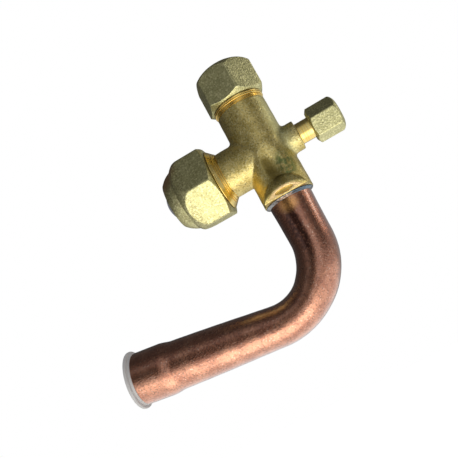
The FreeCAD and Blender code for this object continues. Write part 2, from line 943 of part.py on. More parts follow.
def make_flare_nut():
    """The flare nut with its rounded conical back."""
    foot = nut_face()
    top = foot + size("nut_length")
    corner = size("nut_flats") / (3**0.5)
    beyond = corner + size("turning_allowance")
    outside = [
        (size("nut_face_radius"), foot, -size("nut_chamfer_arc")),
        (beyond, foot),
        (beyond, top),
        (size("nut_end_radius"), top),
        (size("nut_shoulder_radius"), foot + size("nut_shoulder"), -size("nut_end_arc")),
        (corner, foot + size("nut_hexagon_end"), -size("nut_back_arc")),
        (corner, foot + size("nut_chamfer")),
    ]
    seat = nut_seat()
    inside = [
        (0, foot),
        (size("nut_bore"), foot),
        (size("nut_bore"), seat),
        (size("nut_hole"), seat + size("nut_bore") - size("nut_hole")),
        (size("nut_hole"), top),
        (0, top),
    ]
    return make_hexagon_cap(
        "flare_nut", "nut_flats", "nut_phase", foot, top, outside, inside, "flare"
    )


def make_flare_plug():
    """The plastic plug held by the nut: a 45 degree skirt on the nose and a domed stub through the hole."""
    body = new_body("flare_plug")
    gap = size("flare_plug_gap")
    stub = size("flare_plug_radius")
    inner = stub - size("flare_plug_wall")
    end = nut_face() + size("nut_length") + size("flare_plug_reach")
    dome = size("flare_plug_dome")
    hollow = dome - size("flare_plug_wall")
    seat = nut_seat()
    skirt_outer = size("nut_bore") - size("flare_plug_skirt_inset")
    # a 45 degree cone moved in by a gap square to it moves along the axis by the gap times the root of 2
    slope = gap * (2**0.5)
    outer_meet = seat + size("nut_bore") - stub - slope
    outer_foot = seat + size("nut_bore") - skirt_outer - slope
    nose = size("flare_nose_start") + size("flare_thread_root") + slope
    add_turned(body, "skirt_and_stub", [
        (skirt_outer, outer_foot),
        (stub, outer_meet),
        (stub, end - dome + root(dome * dome - stub * stub)),
        (0, end, dome),
        (0, end - size("flare_plug_wall")),
        (inner, end - dome + root(hollow * hollow - inner * inner), -hollow),
        (inner, nose - inner),
        (size("flare_thread_root"), nose - size("flare_thread_root")),
        (skirt_outer, nose - size("flare_thread_root")),
    ])
    settle(body, along("flare"))
    return body


def make_service_cap():
    """The charging port's cap, screwed down over its thread."""
    foot = size("port_thread_start") - size("port_cap_skirt")
    top = port_cap_floor() + size("port_cap_wall")
    corner = size("port_cap_flats") / (3**0.5)
    beyond = corner + size("turning_allowance")
    outside = [
        (size("port_cap_rim_radius"), foot, -size("port_cap_chamfer_arc")),
        (beyond, foot),
        (beyond, top),
        (size("port_cap_top_radius"), top),
        (corner, top - size("port_cap_crown"), -size("port_cap_side_arc")),
        (corner, foot + size("port_cap_chamfer")),
    ]
    inside = [
        (0, foot),
        (size("port_cap_bore"), foot),
        (size("port_cap_bore"), port_cap_floor()),
        (0, port_cap_floor()),
    ]
    return make_hexagon_cap(
        "service_cap", "port_cap_flats", "port_cap_phase", foot, top, outside, inside, "port"
    )


def make_service_cap_seal():
    """The washer between the port's nose and the cap's floor."""
    body = new_body("service_cap_seal")
    add_turned(body, "washer", [
        (size("port_seal_hole"), port_tip()),
        (size("port_seal_radius"), port_tip()),
        (size("port_seal_radius"), port_cap_floor()),
        (size("port_seal_hole"), port_cap_floor()),
    ])
    settle(body, along("port"))
    return body


def make_core_barrel():
    """The valve core's barrel, drawn along the port: a sleeve, its seat lip and its head."""
    body = new_body("core_barrel")
    low = core_inner_end()
    head, outer_end = core_head()
    add_turned(body, "sleeve", [
        (size("core_pin_hole"), low + size("core_seat_lip")),
        (size("core_seat_bore"), low),
        (size("core_barrel_radius"), low),
        (size("core_barrel_radius"), head),
        (size("core_head_radius"), head),
        (size("core_head_radius"), outer_end),
        (size("core_barrel_bore"), outer_end),
        (size("core_barrel_bore"), low + size("core_seat_lip") * 2),
        (size("core_pin_hole"), low + size("core_seat_lip") * 2),
    ])
    settle(body, along("port"))
    return body


def make_core_gasket():
    """The cone-ended ring that seals the core's barrel in the port."""
    body = new_body("core_gasket")
    gap = size("core_gap")
    inner = size("core_barrel_radius") + gap / 2
    head = core_head()[0]
    seat_start = core_seat()[0]
    slope = size("core_seat_length") / (size("core_bore_radius") - size("port_passage_radius"))
    touch = seat_start + (size("core_gasket_radius") - size("port_passage_radius")) * slope
    add_turned(body, "cone_ring", [
        (inner, seat_start + gap * 2),
        (size("core_gasket_radius"), touch + gap * 2),
        (size("core_gasket_radius"), head),
        (inner, head),
    ])
    settle(body, along("port"))
    return body


def make_core_plug():
    """The threaded plug that presses the core home, with the two flats that its key turns."""
    body = new_body("core_plug")
    start = core_head()[1]
    end = core_plug_end()
    radius = size("core_plug_radius")
    blade = size("core_plug_blade") / 2
    add_turned(body, "threaded_plug", [
        (size("core_plug_bore"), start),
        (radius, start),
        (radius, end),
        (size("core_plug_bore"), end),
    ])
    for name, side in (("flat_one", 1), ("flat_two", -1)):
        points = [
            (-radius, blade * side),
            (radius, blade * side),
            (radius, (radius + blade) * side),
            (-radius, (radius + blade) * side),
        ]
        add_prism(body, name, points, size("core_plug_step"), offset=end, cut=True)
    settle(body, along("port"))
    return body


def make_core_pin():
    """The pin that a hose presses: its flange sits on the spring, its foot carries the cup."""
    body = new_body("core_pin")
    flange = core_head()[1] - size("core_pin_flange_depth")
    top = flange + size("core_pin_flange_width")
    low = core_inner_end() - size("core_cup_depth")
    add_turned(body, "pin", [
        (0, low),
        (size("core_pin_radius"), low),
        (size("core_pin_radius"), flange),
        (size("core_pin_flange"), flange),
        (size("core_pin_flange"), top),
        (size("core_pin_radius"), top),
        (size("core_pin_radius"), core_plug_end() + size("core_pin_reach")),
        (0, core_plug_end() + size("core_pin_reach")),
    ])
    settle(body, along("port"))
    return body


def make_core_cup():
    """The small cup on the pin's foot, which holds the core's seal."""
    body = new_body("core_cup")
    low = core_inner_end() - size("core_cup_depth")
    wall = size("core_cup_wall")
    top = core_inner_end() - size("core_gap") * 2
    add_turned(body, "cup", [
        (size("core_pin_radius"), low),
        (size("core_cup_radius"), low),
        (size("core_cup_radius"), top - wall),
        (size("core_cup_radius") - wall, top - wall),
        (size("core_cup_radius") - wall, low + wall),
        (size("core_pin_radius"), low + wall),
    ])
    settle(body, along("port"))
    return body


def make_core_cup_seal():
    """The ring in the cup that closes on the barrel's lip."""
    body = new_body("core_cup_seal")
    low = core_inner_end() - size("core_cup_depth") + size("core_cup_wall")
    add_turned(body, "ring", [
        (size("core_pin_radius"), low),
        (size("core_cup_radius") - size("core_cup_wall"), low),
        (size("core_cup_radius") - size("core_cup_wall"), core_inner_end()),
        (size("core_pin_radius"), core_inner_end()),
    ])
    settle(body, along("port"))
    return body


def make_core_spring():
    """The coil round the pin, between the barrel's lip and the pin's flange."""
    wire = size("core_wire_radius")
    low = core_inner_end() + size("core_seat_lip") * 2 + wire
    high = core_head()[1] - size("core_pin_flange_depth") - wire
    helix = doc.addObject("Part::Helix", "spring_line")
    bind(helix, "Radius", size("core_spring_radius"))
    bind(helix, "Height", high - low)
    bind(helix, "Pitch", (high - low) / size("core_spring_turns"))
    round_wire = doc.addObject("Part::Circle", "spring_wire")
    bind(round_wire, "Radius", wire)
    round_wire.Placement = Placement(
        Vector(SIZES["core_spring_radius"], 0, 0), Rotation(Vector(1, 0, 0), 90.0)
    )
    spring = doc.addObject("Part::Sweep", "core_spring")
    spring.Sections = [round_wire]
    doc.recompute()
    spring.Spine = (helix, [f"Edge{n}" for n in range(1, len(helix.Shape.Edges) + 1)])
    spring.Solid = True
    spring.Frenet = True
    spring.Label = "core_spring"
    doc.recompute()
    settle(spring, along("port"), (low, 0))
    return spring


def make_tube_plug():
    """The push-in plug of the tube's mouth: a flange, a step on the rim, and a hollow tapered body."""
    body = new_body("tube_plug")
    step = size("plug_step")
    outer = step + size("plug_flange_thickness")
    wall = size("plug_wall")
    add_turned(body, "hollow_plug", [
        (0, -size("plug_depth")),
        (size("plug_tip_radius"), -size("plug_depth")),
        (size("plug_body_radius"), 0),
        (size("plug_step_radius"), 0),
        (size("plug_step_radius"), step),
        (size("plug_flange_radius"), step),
        (size("plug_flange_radius"), outer),
        (size("plug_body_radius") - wall, outer),
        (size("plug_tip_radius") - wall, wall - size("plug_depth")),
        (0, wall - size("plug_depth")),
    ])
    mouth = tube_points()[3]
    settle(body, Rotation(Vector(0, -1, 0), 180.0 - SIZES["bend_turn"]), mouth)
    return body


def wrong_objects():
    """Every document object that failed, and every sub-part without a sound solid."""
    failed = [o.Name for o in doc.Objects if {"Invalid", "Error"} & set(o.State)]
    for piece in PIECES:
        if piece.Shape.isNull() or not piece.Shape.isValid() or not piece.Shape.Solids:
            failed.append(piece.Label)
    return failed


fill_sheet()
PIECES = [
    make_valve_body(),
    make_outlet_tube(),
    make_braze_ring(),
    make_stem(),
    *make_stem_seals(),
    make_stem_retaining_ring(),
    make_stem_cap(),
    make_stem_cap_seal(),
    make_flare_nut(),
    make_flare_plug(),
    make_service_cap(),
    make_service_cap_seal(),
    make_core_barrel(),
    make_core_gasket(),
    make_core_plug(),
    make_core_pin(),
    make_core_cup(),
    make_core_cup_seal(),
    make_core_spring(),
    make_tube_plug(),
]
doc.recompute()

failures = wrong_objects()
if failures:
    raise ValueError(f"these objects are not sound: {failures}")

for piece in PIECES:
    piece.Shape.exportStep(f"parts/{piece.Label}.step")
    print(f"{piece.Label}: {piece.Shape.Volume:.1f} mm3, {len(piece.Shape.Faces)} faces")
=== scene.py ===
import math

import bmesh
import bpy
import numpy as np
from mathutils import Matrix, Vector


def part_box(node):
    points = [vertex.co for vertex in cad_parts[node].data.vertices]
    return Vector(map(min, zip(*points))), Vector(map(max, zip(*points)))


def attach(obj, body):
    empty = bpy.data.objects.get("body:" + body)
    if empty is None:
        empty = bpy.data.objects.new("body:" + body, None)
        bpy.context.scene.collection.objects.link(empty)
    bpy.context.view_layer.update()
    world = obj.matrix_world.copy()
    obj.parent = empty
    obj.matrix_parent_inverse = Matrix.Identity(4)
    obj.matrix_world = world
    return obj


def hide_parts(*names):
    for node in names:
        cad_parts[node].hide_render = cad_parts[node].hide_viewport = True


# The refrigerant service valve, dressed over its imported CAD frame.
# Pieces are drawn in millimetres about the point where the valve's three axes cross,
# or about the tube's mouth, and put into the row's frame, in metres, when their mesh is made.

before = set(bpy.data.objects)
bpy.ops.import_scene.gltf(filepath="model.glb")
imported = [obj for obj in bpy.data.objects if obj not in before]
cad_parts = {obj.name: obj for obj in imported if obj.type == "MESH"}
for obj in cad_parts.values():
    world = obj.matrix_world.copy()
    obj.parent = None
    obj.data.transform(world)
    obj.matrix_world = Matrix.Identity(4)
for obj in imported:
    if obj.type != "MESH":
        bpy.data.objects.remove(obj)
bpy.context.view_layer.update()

MM = 0.001


def centre_of(node):
    low, high = (Vector(corner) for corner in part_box(node))
    return (low + high) / 2


# the stem's axis gives the crossing's x, and the pin of the port's core its z
CROSSING = Vector((centre_of("stem_o_ring_1").x, 0.0, centre_of("core_pin").z))


# Places and directions

def standing(origin, along, side):
    """The matrix that puts a piece drawn along its own Z, in millimetres, into the row frame."""
    z_axis = Vector(along).normalized()
    y_axis = Vector(side).normalized()
    x_axis = y_axis.cross(z_axis)
    turn = Matrix((x_axis, y_axis, z_axis)).transposed().to_4x4()
    return Matrix.Translation(origin) @ turn @ Matrix.Scale(MM, 4)


UP = standing(CROSSING, (0, 0, 1), (0, 1, 0))
FLARE = standing(CROSSING, (-1, 0, 0), (0, 1, 0))
PORT = standing(CROSSING, (1, 0, 0), (0, 1, 0))

# copper tube, sizes in mm
BEND_RADIUS = 25.0
BEND_TURN = math.radians(96.7)
BEND_CORNER = -65.9
LEG_LENGTH = 59.8
SWAGE_START = 42.6
SWAGE_LENGTH = 6.0
SOCKET_RADIUS = 10.6
TUBE_TOP = -12.9
TUBE_WALL = 1.0

BEND_BEGIN = BEND_CORNER + BEND_RADIUS * math.tan(BEND_TURN / 2)
LEG_WAY = Vector((-math.sin(BEND_TURN), 0, -math.cos(BEND_TURN)))
LEG = standing((0, 0, 0), LEG_WAY, (0, 1, 0))


# Meshes from grids of points

def add_piece(name, points, faces, place, material, body, auto_smooth=None):
    """A mesh piece of the object, from points in millimetres, riding on a body."""
    mesh = bpy.data.meshes.new(name)
    mesh.from_pydata(points.tolist(), [], faces.tolist())
    tidy_mesh(mesh)
    mesh.transform(place)
    mesh.polygons.foreach_set("use_smooth", [True] * len(mesh.polygons))
    if auto_smooth is not None:
        mesh.set_sharp_from_angle(angle=math.radians(auto_smooth))
    mesh.update()
    piece = bpy.data.objects.new(name, mesh)
    bpy.context.scene.collection.objects.link(piece)
    mesh.materials.append(material)
    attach(piece, body)
    return piece


def tidy_mesh(mesh):
    """Joins the points that lie on each other, and turns a closed surface's faces outwards."""
    work = bmesh.new()
    work.from_mesh(mesh)
    bmesh.ops.remove_doubles(work, verts=work.verts, dist=1e-4)
    bmesh.ops.dissolve_degenerate(work, edges=work.edges, dist=1e-4)
    loose = [edge for edge in work.edges if not edge.link_faces]
    bmesh.ops.delete(work, geom=loose, context="EDGES")
    if all(edge.is_manifold for edge in work.edges):
        bmesh.ops.recalc_face_normals(work, faces=work.faces)
    work.to_mesh(mesh)
    work.free()


def grid_faces(rows, columns):
    """Quads of a grid of rows by columns of points, its columns closed into a ring."""
    row, column = np.meshgrid(np.arange(rows - 1), np.arange(columns), indexing="ij")
    beside = (column + 1) % columns
    corners = [
        row * columns + column,
        row * columns + beside,
        (row + 1) * columns + beside,
        (row + 1) * columns + column,
    ]
    return np.stack(corners, axis=-1).reshape(-1, 4)


def ring_angles(count):
    return np.linspace(0.0, 2 * np.pi, count, endpoint=False)


def swept_points(heights, radii, angles):
    """Points of rings about Z: heights and radii are rows by columns, or rows by 1."""
    heights, radii, angles = np.broadcast_arrays(heights, radii, angles[None, :])
    spread = [radii * np.sin(angles), -radii * np.cos(angles), heights]
    return np.stack(spread, axis=-1).reshape(-1, 3)


def rounded_outline(corners, steps=5):
    """The (height, radius) points of an outline with an arc at each corner that gives a radius."""
    line = []
    count = len(corners)
    for i, corner in enumerate(corners):
        here = np.array(corner[:2], float)
        if len(corner) == 2 or i in (0, count - 1):
            line.append(here)
            continue
        before = np.array(corners[i - 1][:2], float) - here
        after = np.array(corners[i + 1][:2], float) - here
        reach = [np.linalg.norm(before), np.linalg.norm(after)]
        before, after = before / reach[0], after / reach[1]
        half = math.acos(np.clip(before @ after, -1, 1)) / 2
        cut = min(corner[2] / math.tan(half), 0.49 * min(reach))
        radius = cut * math.tan(half)
        middle = here + (before + after) / np.linalg.norm(before + after) * radius / math.sin(half)
        first = here + before * cut - middle
        last = here + after * cut - middle
        swing = math.acos(np.clip(first @ last / radius**2, -1, 1))
        for t in np.linspace(0, 1, steps + 1):
            blend = (math.sin((1 - t) * swing) * first + math.sin(t * swing) * last) / math.sin(swing)
            line.append(middle + blend)
    return np.array(line)


def add_turned(name, corners, place, material, body, columns=128):
    """A piece turned about its axis from an outline of (height, radius, corner's round)."""
    line = rounded_outline(corners)
    points = swept_points(line[:, :1], line[:, 1:], ring_angles(columns))
    piece = add_piece(name, points, grid_faces(len(line), columns), place, material, body, 40)
    piece.modifiers.new("even_shading", "WEIGHTED_NORMAL").keep_sharp = True
    return piece


def smooth_min(a, b, width):
    """The smaller of two values, blended over a width where they are close."""
    near = np.clip(0.5 + 0.5 * (b - a) / width, 0, 1)
    return b + (a - b) * near - width * near * (1 - near)


def smooth_max(a, b, width):
    return -smooth_min(-a, -b, width)


def smooth_step(low, high, value):
    t = np.clip((value - low) / (high - low), 0, 1)
    return t * t * (3 - 2 * t)


def hexagon_reach(flats, phase, angles, sharpness=70.0):
    """How far a hexagon with slightly rounded corners reaches at each angle."""
    total = np.zeros_like(angles)
    for k in range(6):
        flat = math.radians(phase + 30.0 + 60.0 * k)
        total += np.clip(np.cos(angles - flat), 0, None) ** sharpness
    return flats / 2 / total ** (1 / sharpness)


def add_hexagon(name, flats, phase, line, place, material, body, edge=0.35, columns=360):
    """A hexagon bar inside a turned outline of (height, radius) points."""
    angles = ring_angles(columns)
    reach = hexagon_reach(flats, phase, angles)[None, :]
    radii = smooth_min(line[:, 1:], reach, edge)
    radii = np.where(line[:, 1:] < flats / 2 - edge, line[:, 1:], radii)
    points = swept_points(line[:, :1], radii, angles)
    return add_piece(name, points, grid_faces(len(line), columns), place, material, body, 50)


def arc_line(start, end, radius, count):
    """Points of the outward-bulging arc between two (height, radius) points."""
    start, end = np.array(start, float), np.array(end, float)
    way = end - start
    length = np.linalg.norm(way)
    side = np.array((-way[1], way[0])) / length
    side *= -1 if side[1] > 0 else 1
    middle = (start + end) / 2 + side * math.sqrt(radius**2 - length**2 / 4)
    first, last = start - middle, end - middle
    swing = math.acos(np.clip(first @ last / radius**2, -1, 1))
    t = np.linspace(0, 1, count)[:, None]
    return middle + (np.sin((1 - t) * swing) * first + np.sin(t * swing) * last) / math.sin(swing)


def straight_line(start, end, count):
    return np.linspace(start, end, count)


def thread_height(phase):
    """The height, 0 to 1, of a 60 degree ridge at each share of a turn, its top at 0.5."""
    away = np.abs(phase % 1.0 - 0.5)
    return np.clip((0.40 - away) / 0.34, 0, 1)


def add_thread(name, start, end, root, depth, pitch, place, material, body, inside=False):
    """A helical thread: ridges out from a root, or in from one, that fade out at both ends."""
    columns = 96
    rows = int((end - start) / pitch * 14) + 1
    heights = np.linspace(start, end, rows)[:, None]
    angles = ring_angles(columns)[None, :]
    turns = heights / pitch - angles / (2 * np.pi) + (0.5 if inside else 0.0)
    fade = smooth_step(start, start + pitch, heights) * smooth_step(end, end - pitch, heights)
    ridge = thread_height(turns) * fade * depth
    radii = root - ridge - 0.02 if inside else root + ridge
    points = swept_points(heights, radii, angles[0])
    faces = grid_faces(rows, columns)
    faces = faces[:, ::-1] if inside else faces
    return add_piece(name, points, faces, place, material, body, 60)


# The forging's surface, from a distance function

def surface_net(distance, low, high, step):
    """Quads on the zero surface of a distance function, then settled exactly onto it."""
    axes = [np.arange(a, b + step, step) for a, b in zip(low, high)]
    grid = np.stack(np.meshgrid(*axes, indexing="ij"), axis=-1)
    value = distance(grid.reshape(-1, 3)).reshape(grid.shape[:3])
    inside = value < 0
    cells = tuple(n - 1 for n in value.shape)
    total = np.zeros(cells + (3,))
    hits = np.zeros(cells)
    crossings = []
    for axis in range(3):
        near = [slice(None)] * 3
        far = [slice(None)] * 3
        near[axis], far[axis] = slice(0, -1), slice(1, None)
        near, far = tuple(near), tuple(far)
        crossed = inside[near] != inside[far]
        share = np.where(crossed, value[near] / np.where(crossed, value[near] - value[far], 1), 0)
        point = grid[near] + (grid[far] - grid[near]) * share[..., None]
        others = [a for a in range(3) if a != axis]
        for first in (0, 1):
            for second in (0, 1):
                pick = [slice(None)] * 3
                pick[others[0]] = slice(first, first + cells[others[0]])
                pick[others[1]] = slice(second, second + cells[others[1]])
                pick = tuple(pick)
                total += np.where(crossed[pick][..., None], point[pick], 0)
                hits += crossed[pick]
        crossings.append((axis, others, crossed, inside[near]))
    active = hits > 0
    number = np.full(cells, -1)
    number[active] = np.arange(active.sum())
    points = total[active] / hits[active][:, None]
    quads = []
    for axis, others, crossed, starts_inside in crossings:
        spot = np.argwhere(crossed)
        a, b = others
        fits = (spot[:, a] > 0) & (spot[:, b] > 0)
        fits &= (spot[:, a] < cells[a]) & (spot[:, b] < cells[b])
        spot = spot[fits]
        ring = []
        for step_a, step_b in ((0, 0), (1, 0), (1, 1), (0, 1)):
            moved = spot.copy()
            moved[:, a] -= step_a
            moved[:, b] -= step_b
            ring.append(number[tuple(moved.T)])
        quad = np.stack(ring, axis=1)
        flip = starts_inside[tuple(spot.T)] == (axis == 1)
        quad[flip] = quad[flip][:, ::-1]
        quads.append(quad)
    for _ in range(3):
        points = settled(distance, points)
    return points, np.concatenate(quads)


def settled(distance, points, probe=0.02):
    """Points moved along the distance's slope onto its zero surface."""
    slope = np.empty_like(points)
    for axis in range(3):
        offset = np.zeros(3)
        offset[axis] = probe
        slope[:, axis] = (distance(points + offset) - distance(points - offset)) / (2 * probe)
    steep = np.maximum((slope**2).sum(axis=1), 0.25)
    return points - slope * (distance(points) / steep)[:, None]


# Materials

# the Mix node's colour sockets, which share their names with its other sockets
MIX_FIRST_COLOUR = 6
MIX_SECOND_COLOUR = 7
MIX_COLOUR = 2


class Shader:
    """A node material with short calls for the nodes it is made of."""

    def __init__(self, name):
        self.material = bpy.data.materials.new(name)
        self.material.use_nodes = True
        self.nodes = self.material.node_tree.nodes
        self.links = self.material.node_tree.links
        self.surface = self.nodes["Principled BSDF"]
        self.place = self.nodes.new("ShaderNodeTexCoord").outputs["Object"]

    def feed(self, socket, value):
        if isinstance(value, bpy.types.NodeSocket):
            self.links.new(value, socket)
        elif isinstance(value, tuple) and len(value) == 3 and socket.type == "RGBA":
            socket.default_value = (*value, 1.0)
        else:
            socket.default_value = value

    def set(self, **settings):
        for name, value in settings.items():
            self.feed(self.surface.inputs[name.replace("_", " ").title().replace("Ior", "IOR")], value)
        return self

    def math(self, operation, first, second):
        node = self.nodes.new("ShaderNodeMath")
        node.operation = operation
        self.feed(node.inputs[0], first)
        self.feed(node.inputs[1], second)
        return node.outputs[0]

    def scaled(self, factors, source=None):
        """The object's coordinates, stretched by three factors."""
        node = self.nodes.new("ShaderNodeVectorMath")
        node.operation = "MULTIPLY"
        self.feed(node.inputs[0], source or self.place)
        node.inputs[1].default_value = factors
        return node.outputs[0]

    def away_from(self, spot, stretch=(1, 1, 1)):
        """The distance in millimetres from a spot about the crossing, stretched by three factors."""
        moved = self.nodes.new("ShaderNodeVectorMath")
        moved.operation = "SUBTRACT"
        self.feed(moved.inputs[0], self.place)
        moved.inputs[1].default_value = CROSSING + Vector(spot) * MM
        length = self.nodes.new("ShaderNodeVectorMath")
        length.operation = "LENGTH"
        self.links.new(self.scaled(tuple(s / MM for s in stretch), moved.outputs[0]), length.inputs[0])
        return length.outputs["Value"]

    def noise(self, size, detail=4.0, roughness=0.55, stretch=(1, 1, 1)):
        """Noise whose grains are about size millimetres."""
        node = self.nodes.new("ShaderNodeTexNoise")
        self.links.new(self.scaled(tuple(s / (size * MM) for s in stretch)), node.inputs["Vector"])
        node.inputs["Scale"].default_value = 1.0
        node.inputs["Detail"].default_value = detail
        node.inputs["Roughness"].default_value = roughness
        return node.outputs["Fac"]

    def range(self, value, low, high, bottom=0.0, top=1.0):
        node = self.nodes.new("ShaderNodeMapRange")
        node.interpolation_type = "SMOOTHSTEP"
        self.feed(node.inputs["Value"], value)
        for name, number in (("From Min", low), ("From Max", high), ("To Min", bottom), ("To Max", top)):
            node.inputs[name].default_value = number
        return node.outputs["Result"]

    def mix(self, share, first, second):
        node = self.nodes.new("ShaderNodeMix")
        node.data_type = "RGBA"
        self.feed(node.inputs["Factor"], share)
        self.feed(node.inputs[MIX_FIRST_COLOUR], first)
        self.feed(node.inputs[MIX_SECOND_COLOUR], second)
        return node.outputs[MIX_COLOUR]

    def tinted(self, base, share, strength, colour):
        """The base with a colour laid over it, as far as a share of a strength says."""
        return self.mix(self.math("MULTIPLY", share, strength), base, colour)

    def bump(self, height, depth, normal=None):
        """A bump whose full height is depth millimetres."""
        node = self.nodes.new("ShaderNodeBump")
        node.inputs["Distance"].default_value = depth * MM
        self.feed(node.inputs["Height"], height)
        if normal is not None:
            self.links.new(normal, node.inputs["Normal"])
        return node.outputs["Normal"]


BRASS = (0.74, 0.60, 0.23)
BRASS_DARK = (0.50, 0.39, 0.12)
PALE_GRAIN_GLINT = (0.95, 0.90, 0.52)
BRASS_PIT_AND_SHADOW = (0.16, 0.12, 0.03)
BAR_BRASS = (0.64, 0.61, 0.31)
BAR_PIT = (0.36, 0.32, 0.14)
NUT_BACK = (0.26, 0.20, 0.10)
NUT_RUST = (0.50, 0.27, 0.13)
GREEN_SHEEN = (0.66, 0.68, 0.38)
TEAL_SHADE = (0.20, 0.25, 0.09)
BROWN_SHADE = (0.20, 0.15, 0.035)
GOLD_LIGHT_POOL = (0.90, 0.66, 0.16)
FACET_TONE_AND_HIGHLIGHT = (0.92, 0.66, 0.34)
DIMPLE_BRASS = (0.80, 0.55, 0.14)
GOLD = (0.92, 0.62, 0.15)
GOLD_PALE = (0.94, 0.80, 0.34)
GOLD_DULL = (0.84, 0.60, 0.18)
COPPER_CLEAN = (0.66, 0.31, 0.19)
COPPER_DULL = (0.46, 0.19, 0.115)
COPPER_BROWNED = (0.38, 0.15, 0.09)
COPPER_SPECK = (0.20, 0.07, 0.04)
COPPER_SCUFF = (0.96, 0.72, 0.58)
COPPER_DARK_REFLECTION = (0.10, 0.03, 0.02)
COPPER_BLOOM = (1.0, 0.50, 0.16)
BRAZE_PALE = (0.50, 0.50, 0.48)
BRAZE_DARK = (0.13, 0.15, 0.17)
BRAZE_BLUE = (0.07, 0.15, 0.22)


def forged_brass():
    """Blasted brass with blotches, pale specks and pits; painted shade in its hollow and above the pad, a
    painted pool of light by the flare arm, a painted green sheen on the barrel, and a facet partly painted
    bright.
    """
    shader = Shader("forged_brass")
    grain = shader.noise(0.62, detail=2.5, roughness=0.6)
    blotch = shader.noise(5.0, detail=3.0)
    base = shader.mix(shader.range(blotch, 0.38, 0.66), BRASS, BRASS_DARK)
    # pale specks of the blasted grain, partly painted glints that pale the brass
    grain_glint = shader.range(grain, 0.50, 0.62)
    base = shader.tinted(base, grain_glint, 0.45, PALE_GRAIN_GLINT)
    pits = shader.range(shader.noise(0.7, detail=1.5, stretch=(1, 1, 1.1)), 0.54, 0.66)
    base = shader.tinted(base, pits, 0.5, BRASS_PIT_AND_SHADOW)
    # painted sheen: a paler green on the barrel's right-hand side
    green_sheen = shader.range(shader.away_from((9.5, -4, 8), (1, 1, 0.3)), 7.0, 2.0)
    base = shader.tinted(base, green_sheen, 0.5, GREEN_SHEEN)
    # painted shade: a dark, mottled teal in the hollow above the pad, right of centre
    hollow_shade = shader.range(shader.away_from((5.2, -8, -10.0), (1.1, 0.6, 0.7)), 5.5, 2.0)
    mottled = shader.range(shader.noise(1.6, detail=3.0), 0.36, 0.60)
    base = shader.tinted(base, hollow_shade, shader.math("MULTIPLY", mottled, 0.95), TEAL_SHADE)
    # painted shade: dark brown in the valley above the pad, by the end of the flare arm
    crease_shade = shader.range(shader.away_from((-1.0, -10, -7.2), (1.3, 0.6, 0.75)), 4.6, 1.6)
    base = shader.tinted(base, crease_shade, 0.85, BROWN_SHADE)
    # painted shadow: the pad's shadow on the barrel right above it
    pad_shadow = shader.range(shader.away_from((-0.6, -9, -12.0), (1.15, 0.6, 0.8)), 5.2, 1.4)
    base = shader.tinted(base, pad_shadow, 0.84, BRASS_PIT_AND_SHADOW)
    # painted light: a golden pool on the lit wedge of the foot between the pad and the flare arm
    lit_wedge = shader.range(shader.away_from((-8, -5, -15), (1, 0.5, 0.6)), 5.0, 1.5)
    base = shader.tinted(base, lit_wedge, 0.75, GOLD_LIGHT_POOL)
    # the pad's slanted facet, paler and pinker: partly its own tone, partly a painted highlight
    low_edge = shader.range(shader.away_from((0, 0, -28.1), (1, 0, 1)), 11.15, 10.75)
    proud = shader.range(shader.away_from((0, -13, 0), (0, 1, 0)), 2.3, 1.9)
    facet = shader.math("MULTIPLY", low_edge, proud)
    base = shader.tinted(base, facet, 0.8, FACET_TONE_AND_HIGHLIGHT)
    dimple = shader.range(shader.away_from((0, -10.7, -18.9), (0.23, 1, 1.1)), 1.05, 0.85)
    base = shader.tinted(base, dimple, 0.85, DIMPLE_BRASS)
    lift = shader.bump(grain, 0.2)
    lift = shader.bump(shader.noise(2.2, detail=2.0), 0.1, lift)
    return shader.set(
        base_color=base,
        metallic=1.0,
        roughness=shader.range(blotch, 0.3, 0.7, 0.38, 0.46),
        normal=lift,
    ).material


def barred_brass(name, dark, blasted):
    """Brass cut from hexagon bar: dulled flats with a fine blasted grain."""
    shader = Shader(name)
    grain = shader.noise(0.8, detail=1.5, roughness=0.5)
    blotch = shader.noise(4.0, detail=3.0)
    base = shader.mix(shader.range(blotch, 0.35, 0.7), BAR_BRASS, dark)
    # pale specks of the blasted grain, partly painted glints that pale the brass
    grain_glint = shader.range(grain, 0.50, 0.66)
    base = shader.tinted(base, grain_glint, 0.7, PALE_GRAIN_GLINT)
    pits = shader.range(shader.noise(0.7, detail=1.5, stretch=(1.1, 1, 1)), 0.54, 0.68)
    base = shader.tinted(base, pits, 0.6, BAR_PIT)
    if blasted:
        back = shader.range(shader.away_from((-46, 0, 0), (1, 0.0, 0.0)), 15.0, 12.5)
        coarse = shader.range(shader.noise(0.9, detail=3.0, roughness=0.7), 0.48, 0.62)
        base = shader.tinted(base, back, shader.math("MULTIPLY", coarse, 0.55), NUT_BACK)
        rust = shader.range(shader.away_from((-39, -6, 10), (1, 1, 0.8)), 9.0, 4.0)
        base = shader.tinted(base, rust, 0.75, NUT_RUST)
    lift = shader.bump(grain, 0.15)
    return shader.set(base_color=base, metallic=1.0, roughness=0.44, normal=lift).material


def turned_brass(name, along):
    """Bright brass with the fine rings that a lathe leaves round an axis."""
    shader = Shader(name)
    stretch = tuple(1.0 if part else 0.02 for part in along)
    rings = shader.noise(0.3, detail=2.0, stretch=stretch)
    tint = shader.mix(shader.range(rings, 0.35, 0.65), GOLD, GOLD_PALE)
    tint = shader.tinted(tint, shader.noise(2.5), 0.4, GOLD_DULL)
    lift = shader.bump(rings, 0.03)
    return shader.set(base_color=tint, metallic=1.0, roughness=0.26, normal=lift).material


